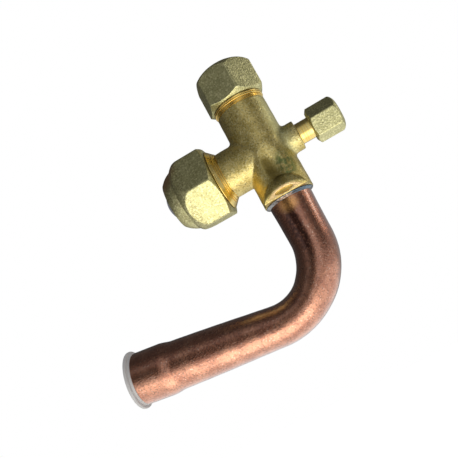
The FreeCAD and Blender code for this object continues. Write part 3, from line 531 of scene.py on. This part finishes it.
def copper():
    """Drawn copper, browned by the torch on its riser, with an orange bloom right under the braze and a
    near-black painted reflection down the riser's front.
    """
    shader = Shader("copper")
    cloud = shader.noise(7.0, detail=4.0, roughness=0.6)
    base = shader.mix(shader.range(cloud, 0.35, 0.65), COPPER_CLEAN, COPPER_DULL)
    riser = shader.range(shader.away_from((-2, 0, -32), (0.7, 0.3, 1)), 26.0, 10.0)
    base = shader.tinted(base, riser, 0.7, COPPER_BROWNED)
    fine = shader.noise(0.8, detail=4.0, roughness=0.7)
    base = shader.tinted(base, shader.range(fine, 0.50, 0.62), 0.6, COPPER_SPECK)
    scuff = shader.range(shader.noise(0.6, detail=3.0), 0.60, 0.70)
    base = shader.tinted(base, scuff, 0.6, COPPER_SCUFF)
    # painted reflection: a near-black, mottled band down the riser's front, left of centre
    dark_band = shader.range(shader.away_from((-2.6, -8.5, -33), (1, 0.6, 0.22)), 3.4, 1.8)
    band_mottle = shader.range(shader.noise(1.4, detail=3.0), 0.30, 0.55)
    base = shader.tinted(base, dark_band, shader.math("MULTIPLY", band_mottle, 0.9), COPPER_DARK_REFLECTION)
    heat = shader.range(shader.away_from((-1.5, -9, -24), (0.8, 1, 1.2)), 5.0, 1.0)
    base = shader.tinted(base, heat, 0.9, COPPER_BLOOM)
    lift = shader.bump(fine, 0.12)
    lift = shader.bump(shader.noise(3.0, detail=2.0), 0.08, lift)
    return shader.set(
        base_color=base,
        metallic=1.0,
        roughness=shader.range(cloud, 0.3, 0.7, 0.17, 0.24),
        coat_weight=1.0,
        coat_roughness=0.12,
        normal=lift,
    ).material


def braze_alloy():
    """Grey braze with a blue oxide on its right-hand side."""
    shader = Shader("braze_alloy")
    blotch = shader.noise(0.9, detail=4.0)
    base = shader.mix(shader.range(blotch, 0.40, 0.62), BRAZE_PALE, BRAZE_DARK)
    blue = shader.range(shader.away_from((7, -8, -21), (0.8, 0.6, 1)), 6.0, 2.0)
    base = shader.tinted(base, blue, 0.75, BRAZE_BLUE)
    lift = shader.bump(blotch, 0.15)
    return shader.set(base_color=base, metallic=0.9, roughness=0.33, normal=lift).material


def moulded_plastic(name, colour, roughness, glow):
    """Plain moulded plastic that light goes a little way into."""
    shader = Shader(name)
    cloud = shader.noise(6.0, detail=3.0)
    deep = tuple(part * 0.9 for part in colour)
    base = shader.mix(shader.range(cloud, 0.3, 0.7), colour, deep)
    lift = shader.bump(shader.noise(0.8, detail=3.0), 0.02)
    return shader.set(
        base_color=base,
        roughness=roughness,
        subsurface_weight=glow,
        subsurface_radius=(1.5 * MM, 1.5 * MM, 1.5 * MM),
        normal=lift,
    ).material


def rubber():
    shader = Shader("rubber")
    lift = shader.bump(shader.noise(0.3), 0.02)
    tint = shader.mix(shader.noise(1.5), (0.018, 0.018, 0.018), (0.035, 0.034, 0.033))
    return shader.set(base_color=tint, roughness=0.55, normal=lift).material


def steel():
    shader = Shader("spring_steel")
    lift = shader.bump(shader.noise(0.2, stretch=(0.1, 0.1, 1.0)), 0.01)
    tint = shader.mix(shader.noise(1.2), (0.56, 0.56, 0.55), (0.42, 0.42, 0.42))
    return shader.set(base_color=tint, metallic=1.0, roughness=0.32, normal=lift).material


FORGED = forged_brass()
BARRED = barred_brass("barred_brass", (0.52, 0.50, 0.25), False)
NUT_BRASS = barred_brass("nut_brass", (0.55, 0.52, 0.25), True)
TURNED_UP = turned_brass("turned_brass_upright", (0, 0, 1))
TURNED_ALONG = turned_brass("turned_brass_along", (1, 0, 0))
COPPER = copper()
BRAZE = braze_alloy()
WHITE_PLASTIC = moulded_plastic("white_plastic", (0.90, 0.89, 0.90), 0.35, 0.3)
GREY_PLASTIC = moulded_plastic("grey_plastic", (0.42, 0.43, 0.50), 0.45, 0.2)
SEAL_PLASTIC = moulded_plastic("seal_plastic", (0.74, 0.73, 0.66), 0.5, 0.1)
RUBBER = rubber()
STEEL = steel()


# Valve body, sizes in mm about the crossing

FOOT = -20.5
FOOT_RADIUS = 10.65
FORGED_TOP = 21.0
BARREL_TOP = 22.4
TOP_RADIUS = 10.4
BAND_TOP = 23.85
BAND_RADIUS = 10.85
BARREL_END = 36.0
CAP_THREAD_ROOT = 9.1
BARREL_BORE = 8.0
STEM_BORE = 7.2
STEM_THREAD_START = 18.2
SEAT = -8.0
FOOT_PASSAGE = 5.6
ARM_RADIUS = 9.8
ARM_END = 17.85
COLLAR_RADIUS = 12.9
COLLAR_END = 21.2
FLARE_THREAD_ROOT = 10.05
FLARE_NOSE_START = 33.5
FLARE_NOSE_RADIUS = 7.0
FLARE_BORE = 6.0
BOSS_RADIUS = 6.1
BOSS_END = 15.3
NECK_RADIUS = 4.34
PORT_THREAD_START = 21.2
PORT_THREAD_ROOT = 4.78
PORT_NOSE_START = 29.8
PORT_NOSE_RADIUS = 3.5
PORT_BORE = 2.7
PASSAGE_RADIUS = 1.9
PASSAGE_START = 4.0
PASSAGE_STEP = (22.8, 23.6)
TUBE_SOCKET = 9.05
RETAINER_GROOVE = (32.9, 34.1)
RETAINER_GROOVE_RADIUS = 8.6
STEM_CAP_PITCH = 1.5
FLARE_PITCH = 1.814
PORT_PITCH = 1.27
PAD_CENTRE = -21.6
PAD_RADIUS = 8.8
PAD_FRONT = 11.9
BEVEL_CENTRE = -28.1
BEVEL_RADIUS = 10.9
BEVEL_SLOPE = math.radians(27)
FACET_TOP = -16.7
FACET_SLOPE = math.atan2(1.15, 3.8)
DIMPLE_HEIGHT = -18.9
DIMPLE_REACH = (3.8, 0.8)
DIMPLE_DEPTH = 0.75
HOLLOW_CENTRE = (1.2, -16.6, -8.6)
HOLLOW_REACH = (6.8, 7.9, 11.0)
HOLLOW_FILLET = 1.8
BOSS_FILLET = 1.8
NET_STEP = 0.29


def forging_distance(points):
    """Roughly the distance in mm from the forging's outside, less its bores; negative inside."""
    x, y, z = points.T
    uneven = 0.04 * np.sin(0.9 * x + 0.6 * z) * np.sin(0.7 * y - 0.5 * z + 1.3)
    around = np.hypot(x, y)
    taper = FOOT_RADIUS + (TOP_RADIUS - FOOT_RADIUS) * (z - FOOT) / (BARREL_TOP - FOOT)
    barrel = smooth_max(around - taper, z - FORGED_TOP, 0.2)
    arm = np.hypot(y, z) - ARM_RADIUS - 0.15 * (1 + x / ARM_END)
    arm = np.maximum(smooth_max(arm, -x - ARM_END, 0.2), x)
    boss = np.maximum(np.hypot(y, z) - BOSS_RADIUS, -x)
    boss = smooth_max(boss, x - BOSS_END, 0.5)
    fillet = 0.9 + 1.1 * smooth_step(-3, 7, z)
    body = smooth_min(barrel, arm, fillet * (1 - 0.8 * smooth_step(5.5, 9.5, -y)))
    body = smooth_min(body, boss, BOSS_FILLET)
    shares = ((a - middle) / reach for a, middle, reach in zip((x, y, z), HOLLOW_CENTRE, HOLLOW_REACH))
    hollow = np.sqrt(sum(share**2 for share in shares))
    body = smooth_max(body, (1 - hollow) * HOLLOW_REACH[1], HOLLOW_FILLET)
    body = smooth_min(body + uneven, pad_distance(x, y, z), 0.35)
    body = smooth_max(body, FOOT - z, 0.35)
    return np.maximum(body, -bore_distance(x, y, z, around))


def pad_distance(x, y, z):
    """The pad on the foot's front: a broad bevel, a slanted face and an oval dimple in it."""
    side = np.hypot(0.94 * x, z - PAD_CENTRE) - PAD_RADIUS
    bevel = (np.hypot(x, z - BEVEL_CENTRE) - BEVEL_RADIUS) * math.sin(BEVEL_SLOPE)
    bevel -= (y + PAD_FRONT) * math.cos(BEVEL_SLOPE)
    dome = smooth_max(side, bevel, 0.8)
    dome = np.maximum(dome, y + 5.0)
    facet = -(y + PAD_FRONT) * math.cos(FACET_SLOPE) - (z - FACET_TOP) * math.sin(FACET_SLOPE)
    dome = smooth_max(dome, facet, 0.35)
    oval = np.hypot(x / DIMPLE_REACH[0], (z - DIMPLE_HEIGHT) / DIMPLE_REACH[1]) - 1
    dimple = np.maximum(oval * DIMPLE_REACH[1], -facet - DIMPLE_DEPTH)
    return smooth_max(dome, -dimple, 0.2)


def bore_distance(x, y, z, around):
    """The bores: the tube's socket, the passage, the stem's bore and thread, and the two side bores."""
    up = np.where(z < TUBE_TOP, TUBE_SOCKET, np.where(z < SEAT, FOOT_PASSAGE, STEM_BORE))
    up = around - np.where(z > STEM_THREAD_START, BARREL_BORE, up)
    side = np.hypot(y, z)
    flare = np.maximum(side - FLARE_BORE, x)
    port = np.maximum(side - PASSAGE_RADIUS, PASSAGE_START - x)
    return np.minimum(np.minimum(up, flare), port)


def make_forging():
    low = (-ARM_END - 0.5, -PAD_FRONT - 0.8, FOOT - 0.5)
    high = (BOSS_END + 0.6, FOOT_RADIUS + 1.6, FORGED_TOP + 0.6)
    points, faces = surface_net(forging_distance, low, high, NET_STEP)
    place = Matrix.Translation(CROSSING) @ Matrix.Scale(MM, 4)
    return add_piece("forging", points, faces, place, FORGED, "valve", 45)


def make_barrel_mouth():
    """The machined end of the barrel: fine rings, its band, the cap's thread, and the stem's bore."""
    rings = []
    for height in np.arange(FORGED_TOP + 0.05, BARREL_TOP - 0.2, 0.27):
        rings += [(height, TOP_RADIUS - 0.12), (height + 0.08, TOP_RADIUS), (height + 0.2, TOP_RADIUS)]
    add_turned("barrel_mouth", [
        (FORGED_TOP - 0.6, BARREL_BORE + 0.02),
        (FORGED_TOP - 0.6, TOP_RADIUS - 0.3),
        (FORGED_TOP, TOP_RADIUS - 0.3),
        *rings,
        (BARREL_TOP - 0.06, TOP_RADIUS - 0.25),
        (BARREL_TOP + 0.04, TOP_RADIUS - 0.25),
        (BARREL_TOP + 0.06, BAND_RADIUS, 0.22),
        (BARREL_TOP + 0.66, BAND_RADIUS, 0.22),
        (BARREL_TOP + 0.68, BAND_RADIUS - 0.45),
        (BARREL_TOP + 0.86, BAND_RADIUS - 0.45),
        (BARREL_TOP + 0.88, BAND_RADIUS, 0.12),
        (BAND_TOP, BAND_RADIUS, 0.1),
        (BAND_TOP, CAP_THREAD_ROOT, 0.15),
        (BARREL_END - 0.7, CAP_THREAD_ROOT, 0.1),
        (BARREL_END, CAP_THREAD_ROOT - 0.7, 0.1),
        (BARREL_END, BARREL_BORE, 0.12),
        (RETAINER_GROOVE[1], BARREL_BORE),
        (RETAINER_GROOVE[1], RETAINER_GROOVE_RADIUS),
        (RETAINER_GROOVE[0], RETAINER_GROOVE_RADIUS),
        (RETAINER_GROOVE[0], BARREL_BORE),
        (FORGED_TOP - 0.6, BARREL_BORE + 0.02),
    ], UP, TURNED_UP, "valve")
    add_thread(
        "barrel_thread", BAND_TOP + 0.2, BARREL_END - 0.8, CAP_THREAD_ROOT - 0.02, 0.85, STEM_CAP_PITCH,
        UP, TURNED_UP, "valve",
    )


def make_flare_end():
    """The collar's turned cone behind the nut, the flare thread and its 45 degree nose."""
    tip = FLARE_NOSE_START + FLARE_THREAD_ROOT - FLARE_NOSE_RADIUS
    add_turned("flare_end", [
        (ARM_END - 0.6, FLARE_BORE + 0.02),
        (ARM_END - 0.6, ARM_RADIUS - 0.3),
        (ARM_END + 0.15, ARM_RADIUS - 0.3),
        (ARM_END + 0.2, ARM_RADIUS + 0.3, 0.08),
        (ARM_END + 0.75, ARM_RADIUS + 0.82, 0.08),
        (ARM_END + 0.85, ARM_RADIUS + 0.62),
        (ARM_END + 0.98, ARM_RADIUS + 1.06, 0.06),
        (ARM_END + 1.35, ARM_RADIUS + 1.42, 0.06),
        (ARM_END + 1.45, ARM_RADIUS + 1.22),
        (ARM_END + 1.58, ARM_RADIUS + 1.66, 0.06),
        (COLLAR_END - 0.3, COLLAR_RADIUS, 0.15),
        (COLLAR_END, COLLAR_RADIUS, 0.12),
        (COLLAR_END, FLARE_THREAD_ROOT, 0.2),
        (FLARE_NOSE_START, FLARE_THREAD_ROOT, 0.2),
        (tip, FLARE_NOSE_RADIUS, 0.2),
        (tip, FLARE_BORE, 0.2),
        (ARM_END - 0.6, FLARE_BORE + 0.02),
    ], FLARE, TURNED_ALONG, "valve")
    add_thread(
        "flare_thread", COLLAR_END + 0.5, FLARE_NOSE_START, FLARE_THREAD_ROOT - 0.02, 1.0, FLARE_PITCH,
        FLARE, TURNED_ALONG, "valve",
    )


def make_port_end():
    """The charging port's neck, thread and nose."""
    tip = PORT_NOSE_START + PORT_THREAD_ROOT - PORT_NOSE_RADIUS
    add_turned("port_end", [
        (BOSS_END - 0.6, PASSAGE_RADIUS + 0.02),
        (BOSS_END - 0.6, NECK_RADIUS + 0.35),
        (BOSS_END - 0.1, NECK_RADIUS + 0.35),
        (BOSS_END + 0.15, NECK_RADIUS, 0.3),
        (PORT_THREAD_START, NECK_RADIUS, 0.2),
        (PORT_THREAD_START + 0.3, PORT_THREAD_ROOT, 0.1),
        (PORT_NOSE_START, PORT_THREAD_ROOT, 0.2),
        (tip, PORT_NOSE_RADIUS, 0.15),
        (tip, PORT_BORE, 0.1),
        (PASSAGE_STEP[1], PORT_BORE),
        (PASSAGE_STEP[0], PASSAGE_RADIUS),
        (BOSS_END - 0.6, PASSAGE_RADIUS + 0.02),
    ], PORT, TURNED_ALONG, "valve", 96)
    add_thread(
        "port_thread", PORT_THREAD_START + 0.5, PORT_NOSE_START, PORT_THREAD_ROOT - 0.02, 0.72, PORT_PITCH,
        PORT, TURNED_ALONG, "valve",
    )


# Caps and nut, sizes in mm along their own axes

def joined(*lines):
    return np.concatenate(lines)


def make_stem_cap():
    flats = 23.2
    corner = flats / math.sqrt(3) + 0.6
    rim, chamfer_end, crown_start, top = 24.1, 26.0, 35.9, 40.5
    floor, bore = 36.8, 10.05
    line = joined(
        straight_line((floor + 1.1, 0.0), (floor + 1.1, 7.0), 4),
        straight_line((floor, 7.6), (floor, bore), 4),
        straight_line((floor - 0.3, bore), (rim + 0.4, bore), 8),
        straight_line((rim + 0.1, 10.3), (rim, 10.6), 3),
        straight_line((rim, 10.9), (chamfer_end + 0.35, corner), 22),
        straight_line((chamfer_end + 0.6, corner), (crown_start - 0.4, corner), 16),
        arc_line((crown_start - 0.2, corner), (top - 0.05, 9.2), 9.5, 30),
        arc_line((top - 0.05, 9.0), (top, 7.8), 6.0, 5),
        straight_line((top, 7.4), (top, 0.0), 5),
    )
    add_hexagon("stem_cap_shell", flats, 15.0, line, UP, BARRED, "stem_cap", 0.2)
    add_thread(
        "stem_cap_thread", rim + 1.0, floor - 0.6, bore, 0.85, STEM_CAP_PITCH,
        UP, TURNED_UP, "stem_cap", inside=True,
    )


def make_flare_nut():
    flats = 29.0
    corner = flats / math.sqrt(3) + 0.7
    face, chamfer_end, back_start, shoulder, end = 21.4, 23.2, 31.5, 37.6, 42.6
    bore, seat, hole = 11.15, 34.3, 8.2
    line = joined(
        straight_line((end - 0.3, hole), (seat + bore - hole, hole), 6),
        straight_line((seat + bore - hole - 0.2, hole + 0.2), (seat, bore), 6),
        straight_line((seat - 0.4, bore), (face + 0.5, bore), 8),
        straight_line((face + 0.1, bore + 0.5), (face, bore + 0.9), 3),
        straight_line((face, bore + 1.2), (face, 14.0), 4),
        arc_line((face + 0.08, 14.25), (chamfer_end + 0.35, corner), 12.0, 26),
        straight_line((chamfer_end + 0.6, corner), (back_start - 0.5, corner), 16),
        arc_line((back_start, corner - 0.66), (shoulder, 13.2), 11.0, 44),
        arc_line((shoulder + 0.15, 13.12), (end - 0.05, 9.9), 12.0, 20),
        straight_line((end, 9.6), (end, hole + 0.4), 4),
        straight_line((end - 0.12, hole + 0.1), (end - 0.3, hole), 2),
    )
    add_hexagon(
        "flare_nut_shell", flats, -7.2, line, FLARE, NUT_BRASS, "flare_nut", 0.12, 480
    )
    add_thread(
        "flare_nut_thread", face + 1.0, seat - 0.3, bore, 0.95, FLARE_PITCH,
        FLARE, TURNED_ALONG, "flare_nut", inside=True,
    )


def make_service_cap():
    flats = 13.05
    corner = flats / math.sqrt(3) + 0.4
    rim, chamfer_end, crown_start, top = 20.9, 22.0, 31.0, 33.4
    floor, bore = 31.8, 5.6
    line = joined(
        straight_line((floor, 0.0), (floor, bore), 4),
        straight_line((floor - 0.2, bore), (rim + 0.2, bore), 8),
        straight_line((rim, 5.75), (chamfer_end + 0.2, corner), 18),
        straight_line((chamfer_end + 0.4, corner), (crown_start - 0.2, corner), 14),
        arc_line((crown_start, corner), (top, 4.9), 4.6, 24),
        straight_line((top, 4.6), (top, 0.0), 5),
    )
    add_hexagon(
        "service_cap_shell", flats, -9.5, line, PORT, BARRED, "service_cap", 0.3, 300
    )
    add_thread(
        "service_cap_thread", rim + 0.8, floor - 0.6, bore, 0.7, PORT_PITCH,
        PORT, TURNED_ALONG, "service_cap", inside=True,
    )


# Plugs

def make_flare_plug():
    """The grey plug in the nut: a cone skirt on the nose and a domed stub through the nut's hole."""
    add_turned("flare_plug_shell", [
        (34.3, 10.9),
        (37.4, 7.9, 0.3),
        *arc_line((41.2, 7.9), (45.25, 0.0), 9.75, 24).tolist(),
        *arc_line((40.88, 6.9), (44.25, 0.0), 8.75, 16)[::-1].tolist(),
        (36.9, 6.9, 0.3),
        (33.7, 10.05),
        (33.7, 10.9, 0.1),
        (34.3, 10.9),
    ], FLARE, GREY_PLASTIC, "flare_plug")


def make_tube_plug():
    """The white plug in the tube's mouth: a flange, a step on the rim, and a hollow tapered body."""
    add_turned("tube_plug_shell", [
        (-10.0, 0.0),
        (-10.0, 9.1, 0.6),
        (0.0, 9.45, 0.1),
        (0.02, 10.4, 0.1),
        (1.1, 10.4, 0.2),
        (1.1, 11.85, 0.45),
        (2.4, 11.85, 0.45),
        (2.4, 8.35, 0.35),
        (-8.9, 8.0, 0.6),
        (-8.9, 0.0),
    ], LEG, WHITE_PLASTIC, "tube_plug")


# Copper tube

OVAL_BLUR = 0.45
TUBE_COLUMNS = 160

# half of each oval's wide and narrow way: three steps down the riser, five round the bend, five along the leg
RISER_STEPS = 3
BEND_STEPS = 5
LEG_STEPS = 5
OVALS = (
    (9.0, 9.0), (9.0, 9.0), (9.2, 8.7), (9.45, 8.55), (9.65, 8.7), (9.85, 8.5), (10.0, 8.05),
    (10.0, 8.05), (9.95, 8.2), (9.85, 8.55), (9.75, 8.95), (9.75, 9.3), (9.8, 9.6), (9.85, 9.85),
)


def tube_rings():
    """Centres, ways across and half widths of the rings down the copper tube, its mouth last."""
    stations = np.arange(len(OVALS))
    riser = BEND_BEGIN - TUBE_TOP
    rings = []
    bend_end = RISER_STEPS + BEND_STEPS
    for t in np.linspace(0, bend_end + LEG_STEPS, 160):
        turn = BEND_TURN * min(max(t - RISER_STEPS, 0) / BEND_STEPS, 1)
        run = SWAGE_START * max(t - bend_end, 0) / LEG_STEPS
        share = np.exp(-((t - stations) ** 2) / (2 * OVAL_BLUR**2))
        halves = share @ np.array(OVALS) / share.sum()
        x = -BEND_RADIUS * (1 - math.cos(turn)) + LEG_WAY.x * run
        down = riser * min(t, RISER_STEPS) / RISER_STEPS
        z = TUBE_TOP + down - BEND_RADIUS * math.sin(turn) + LEG_WAY.z * run
        rings.append((x, z, math.cos(turn), -math.sin(turn), *halves))
    x, z, across_x, across_z = rings[-1][:4]
    for run in np.linspace(0, LEG_LENGTH - SWAGE_START, 48)[1:]:
        swell = smooth_step(0, SWAGE_LENGTH, run)
        radius = OVALS[-1][0] + (SOCKET_RADIUS - OVALS[-1][0]) * swell
        rings.append((x + LEG_WAY.x * run, z + LEG_WAY.z * run, across_x, across_z, radius, radius))
    return np.array(rings)


def make_tube():
    """The copper tube: an oval that changes down its length, its swaged mouth, and its inside."""
    outside = tube_rings()
    lip = np.repeat(outside[-1:], 5, axis=0)
    lip[:, 4:] -= np.array((0.0, 0.06, 0.2, TUBE_WALL - 0.2, TUBE_WALL - 0.06))[:, None]
    outside = outside[:-1]
    inside = outside[::-1].copy()
    inside[:, 4:] -= TUBE_WALL
    for row, back in ((0, 0.2), (1, 0.06), (4, 0.06)):
        lip[row, :2] -= np.array((LEG_WAY.x, LEG_WAY.z)) * back
    rings = np.concatenate([outside, lip, inside, outside[:1]])
    angles = ring_angles(TUBE_COLUMNS)[None, :]
    narrow = rings[:, 5:6] * np.cos(angles)
    points = np.stack([
        rings[:, 0:1] + rings[:, 2:3] * narrow,
        -rings[:, 4:5] * np.sin(angles),
        rings[:, 1:2] + rings[:, 3:4] * narrow,
    ], axis=-1).reshape(-1, 3)
    points += np.array(CROSSING) / MM
    faces = grid_faces(len(rings), TUBE_COLUMNS)
    add_piece("copper_tube", points, faces, Matrix.Scale(MM, 4), COPPER, "valve", 45)


def make_braze():
    """The fillet of braze round the tube under the foot, a little uneven round its edge."""
    angles = ring_angles(TUBE_COLUMNS)
    wave = sum(np.sin(k * angles + 2.1 * k * k) / k for k in range(2, 9)) / 2
    line = np.array((
        (-20.45, 9.02), (-20.45, 10.1), (-20.58, 10.1), (-20.62, 10.3), (-20.72, 10.4), (-20.86, 10.36),
        (-20.98, 10.16), (-21.1, 9.86), (-21.22, 9.56), (-21.36, 9.34), (-21.5, 9.16), (-21.56, 9.02),
        (-20.45, 9.02),
    ))[::-1]
    low = np.clip((-20.6 - line[:, :1]) / 0.9, 0, 1)
    inner = line[:, 1:] < TUBE_SOCKET
    heights = line[:, :1] + 0.12 * low * wave
    radii = np.where(inner, line[:, 1:], line[:, 1:] + 0.06 * (wave - 0.7))
    points = swept_points(heights, radii, angles)
    add_piece("braze_fillet", points, grid_faces(len(line), TUBE_COLUMNS), UP, BRAZE, "valve", 60)


make_forging()
make_barrel_mouth()
make_flare_end()
make_port_end()
make_stem_cap()
make_flare_nut()
make_service_cap()
make_flare_plug()
make_tube_plug()
make_tube()
make_braze()

STANDS_FOR = {
    "forging": "valve_body",
    "barrel_mouth": "valve_body",
    "barrel_thread": "valve_body",
    "flare_end": "valve_body",
    "flare_thread": "valve_body",
    "port_end": "valve_body",
    "port_thread": "valve_body",
    "stem_cap_shell": "stem_cap",
    "stem_cap_thread": "stem_cap",
    "flare_nut_shell": "flare_nut",
    "flare_nut_thread": "flare_nut",
    "service_cap_shell": "service_cap",
    "service_cap_thread": "service_cap",
    "flare_plug_shell": "flare_plug",
    "tube_plug_shell": "tube_plug",
    "copper_tube": "outlet_tube",
    "braze_fillet": "braze_ring",
}
for piece, node in STANDS_FOR.items():
    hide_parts(node)

KEPT_NODES = {
    "stem": TURNED_UP,
    "stem_o_ring_1": RUBBER,
    "stem_o_ring_2": RUBBER,
    "stem_retaining_ring": STEEL,
    "stem_cap_seal": SEAL_PLASTIC,
    "service_cap_seal": SEAL_PLASTIC,
    "core_barrel": TURNED_ALONG,
    "core_gasket": SEAL_PLASTIC,
    "core_plug": TURNED_ALONG,
    "core_pin": STEEL,
    "core_cup": TURNED_ALONG,
    "core_cup_seal": RUBBER,
    "core_spring": STEEL,
}
for node, material in KEPT_NODES.items():
    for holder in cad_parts[node].material_slots:
        holder.link = "OBJECT"
        holder.material = material


# Floor, light and camera, in metres

FLOOR_HEIGHT = -0.6
FLOOR_REACH = 4.0
FLOOR_SEEN = 0.86

# what metal mirrors: the floor near and far, and the sky away from and towards its paler side
FLOOR_NEAR = 0.80
FLOOR_FAR = 0.16
SKY_DIM = 0.07
SKY_PALE = 0.80
SKY_WAY = (0.16, -0.80, -0.57)

# two dull patches and a bright one in that sky, and the light on what isn't mirrored
DARK_WAY = (-0.38, -0.90, 0.20)
DULL_WAY = (0.83, -0.52, 0.20)
SIDE_WAY = (0.77, 0.62, 0.12)
FILL = 0.35

# the camera: its place from the crossing, in mm, and the ways to its right and behind it
CAMERA_PLACE = (8.9, -228.1, -65.9)
CAMERA_RIGHT = (0.8604, 0.2292, -0.4552)
CAMERA_BACK = (0.1544, -0.9684, -0.1959)
SENSOR_WIDTH = 36.0
FOCAL_LENGTH = 46.05
CAMERA_SHIFT = (0.0003, 0.0021)


def light_path(nodes, name):
    return nodes.new("ShaderNodeLightPath").outputs[name]


def seen_through(shader):
    """One for rays from the camera and for those that clear plastic sends on."""
    return shader.math(
        "MAXIMUM", light_path(shader.nodes, "Is Camera Ray"), light_path(shader.nodes, "Is Transmission Ray")
    )


def make_floor():
    mesh = bpy.data.meshes.new("floor")
    corners = ((-1, -1), (1, -1), (1, 1), (-1, 1))
    points = [(x * FLOOR_REACH, y * FLOOR_REACH, FLOOR_HEIGHT) for x, y in corners]
    mesh.from_pydata(points, [], [(0, 1, 2, 3)])
    floor = bpy.data.objects.new("floor", mesh)
    bpy.context.scene.collection.objects.link(floor)
    shader = Shader("pale_floor")
    cloud = shader.noise(60.0, detail=2.0)
    tint = shader.mix(cloud, (0.86, 0.86, 0.86), (0.90, 0.90, 0.90))
    pool = shader.range(shader.away_from((0, 0, 0), (1, 1, 0)), 900, 2400, FLOOR_NEAR, FLOOR_FAR)
    mirrored = shader.math("MULTIPLY", light_path(shader.nodes, "Is Glossy Ray"), pool)
    glow = shader.math("MAXIMUM", shader.math("MULTIPLY", seen_through(shader), FLOOR_SEEN), mirrored)
    shader.set(base_color=tint, roughness=0.9, emission_color=(1.0, 1.0, 1.0), emission_strength=glow)
    mesh.materials.append(shader.material)


def make_world():
    """White behind the object, and a soft studio that is pale in front and dim above and behind."""
    world = bpy.data.worlds.new("studio")
    bpy.context.scene.world = world
    world.use_nodes = True
    nodes = world.node_tree.nodes
    links = world.node_tree.links
    sky = nodes["Background"]
    way = nodes.new("ShaderNodeTexCoord")

    def strength(towards, low, high, at_low, at_high):
        facing = nodes.new("ShaderNodeVectorMath")
        facing.operation = "DOT_PRODUCT"
        links.new(way.outputs["Generated"], facing.inputs[0])
        facing.inputs[1].default_value = towards
        share = nodes.new("ShaderNodeMapRange")
        share.interpolation_type = "SMOOTHSTEP"
        links.new(facing.outputs["Value"], share.inputs["Value"])
        for name, number in (("From Min", low), ("From Max", high), ("To Min", at_low), ("To Max", at_high)):
            share.inputs[name].default_value = number
        return share.outputs[0]

    def combined(operation, first, second):
        node = nodes.new("ShaderNodeMath")
        node.operation = operation
        links.new(first, node.inputs[0])
        links.new(second, node.inputs[1])
        return node.outputs[0]

    front = strength(SKY_WAY, -0.3, 0.9, SKY_DIM, SKY_PALE)
    front = combined("MULTIPLY", front, strength(DARK_WAY, 0.87, 0.97, 1.0, 0.10))
    front = combined("MULTIPLY", front, strength(DULL_WAY, 0.80, 0.98, 1.0, 0.28))
    studio = combined("ADD", front, strength(SIDE_WAY, 0.60, 0.95, 0.0, 0.35))
    glossy = nodes.new("ShaderNodeMix")
    links.new(light_path(nodes, "Is Glossy Ray"), glossy.inputs["Factor"])
    glossy.inputs["A"].default_value = FILL
    links.new(studio, glossy.inputs["B"])
    seen = combined("MAXIMUM", light_path(nodes, "Is Camera Ray"), light_path(nodes, "Is Transmission Ray"))
    white = nodes.new("ShaderNodeMix")
    links.new(seen, white.inputs["Factor"])
    links.new(glossy.outputs["Result"], white.inputs["A"])
    white.inputs["B"].default_value = 1.0
    links.new(white.outputs["Result"], sky.inputs["Strength"])
    sky.inputs["Color"].default_value = (1.0, 1.0, 1.0, 1.0)


def add_lamp(name, way, distance, width, power, colour):
    """A soft square lamp that stands off from the crossing and faces it."""
    lamp = bpy.data.lights.new(name, "AREA")
    lamp.shape = "SQUARE"
    lamp.size = width
    lamp.energy = power
    lamp.color = colour
    holder = bpy.data.objects.new(name, lamp)
    bpy.context.scene.collection.objects.link(holder)
    way = Vector(way).normalized()
    holder.location = CROSSING + way * distance
    holder.rotation_euler = way.to_track_quat("Z", "Y").to_euler()
    holder.visible_camera = False


def make_camera():
    """The photograph's view: rolled, and looking a little upwards from in front."""
    lens = bpy.data.cameras.new("camera")
    lens.sensor_width = SENSOR_WIDTH
    lens.lens = FOCAL_LENGTH
    lens.shift_x, lens.shift_y = CAMERA_SHIFT
    camera = bpy.data.objects.new("camera", lens)
    bpy.context.scene.collection.objects.link(camera)
    right = Vector(CAMERA_RIGHT).normalized()
    back = Vector(CAMERA_BACK)
    back = (back - right * back.dot(right)).normalized()
    turn = Matrix((right, back.cross(right), back)).transposed().to_4x4()
    camera.matrix_world = Matrix.Translation(CROSSING + Vector(CAMERA_PLACE) * MM) @ turn
    bpy.context.scene.camera = camera


make_floor()
make_world()
add_lamp("key", way=(-0.12, -0.52, -0.85), distance=0.45, width=0.36, power=0.60, colour=(1.0, 0.95, 0.82))
add_lamp("side_fill", way=(0.95, 0.12, 0.22), distance=0.6, width=0.16, power=0.26, colour=(1.0, 0.95, 0.84))
make_camera()
bpy.context.scene.view_settings.view_transform = "Standard"
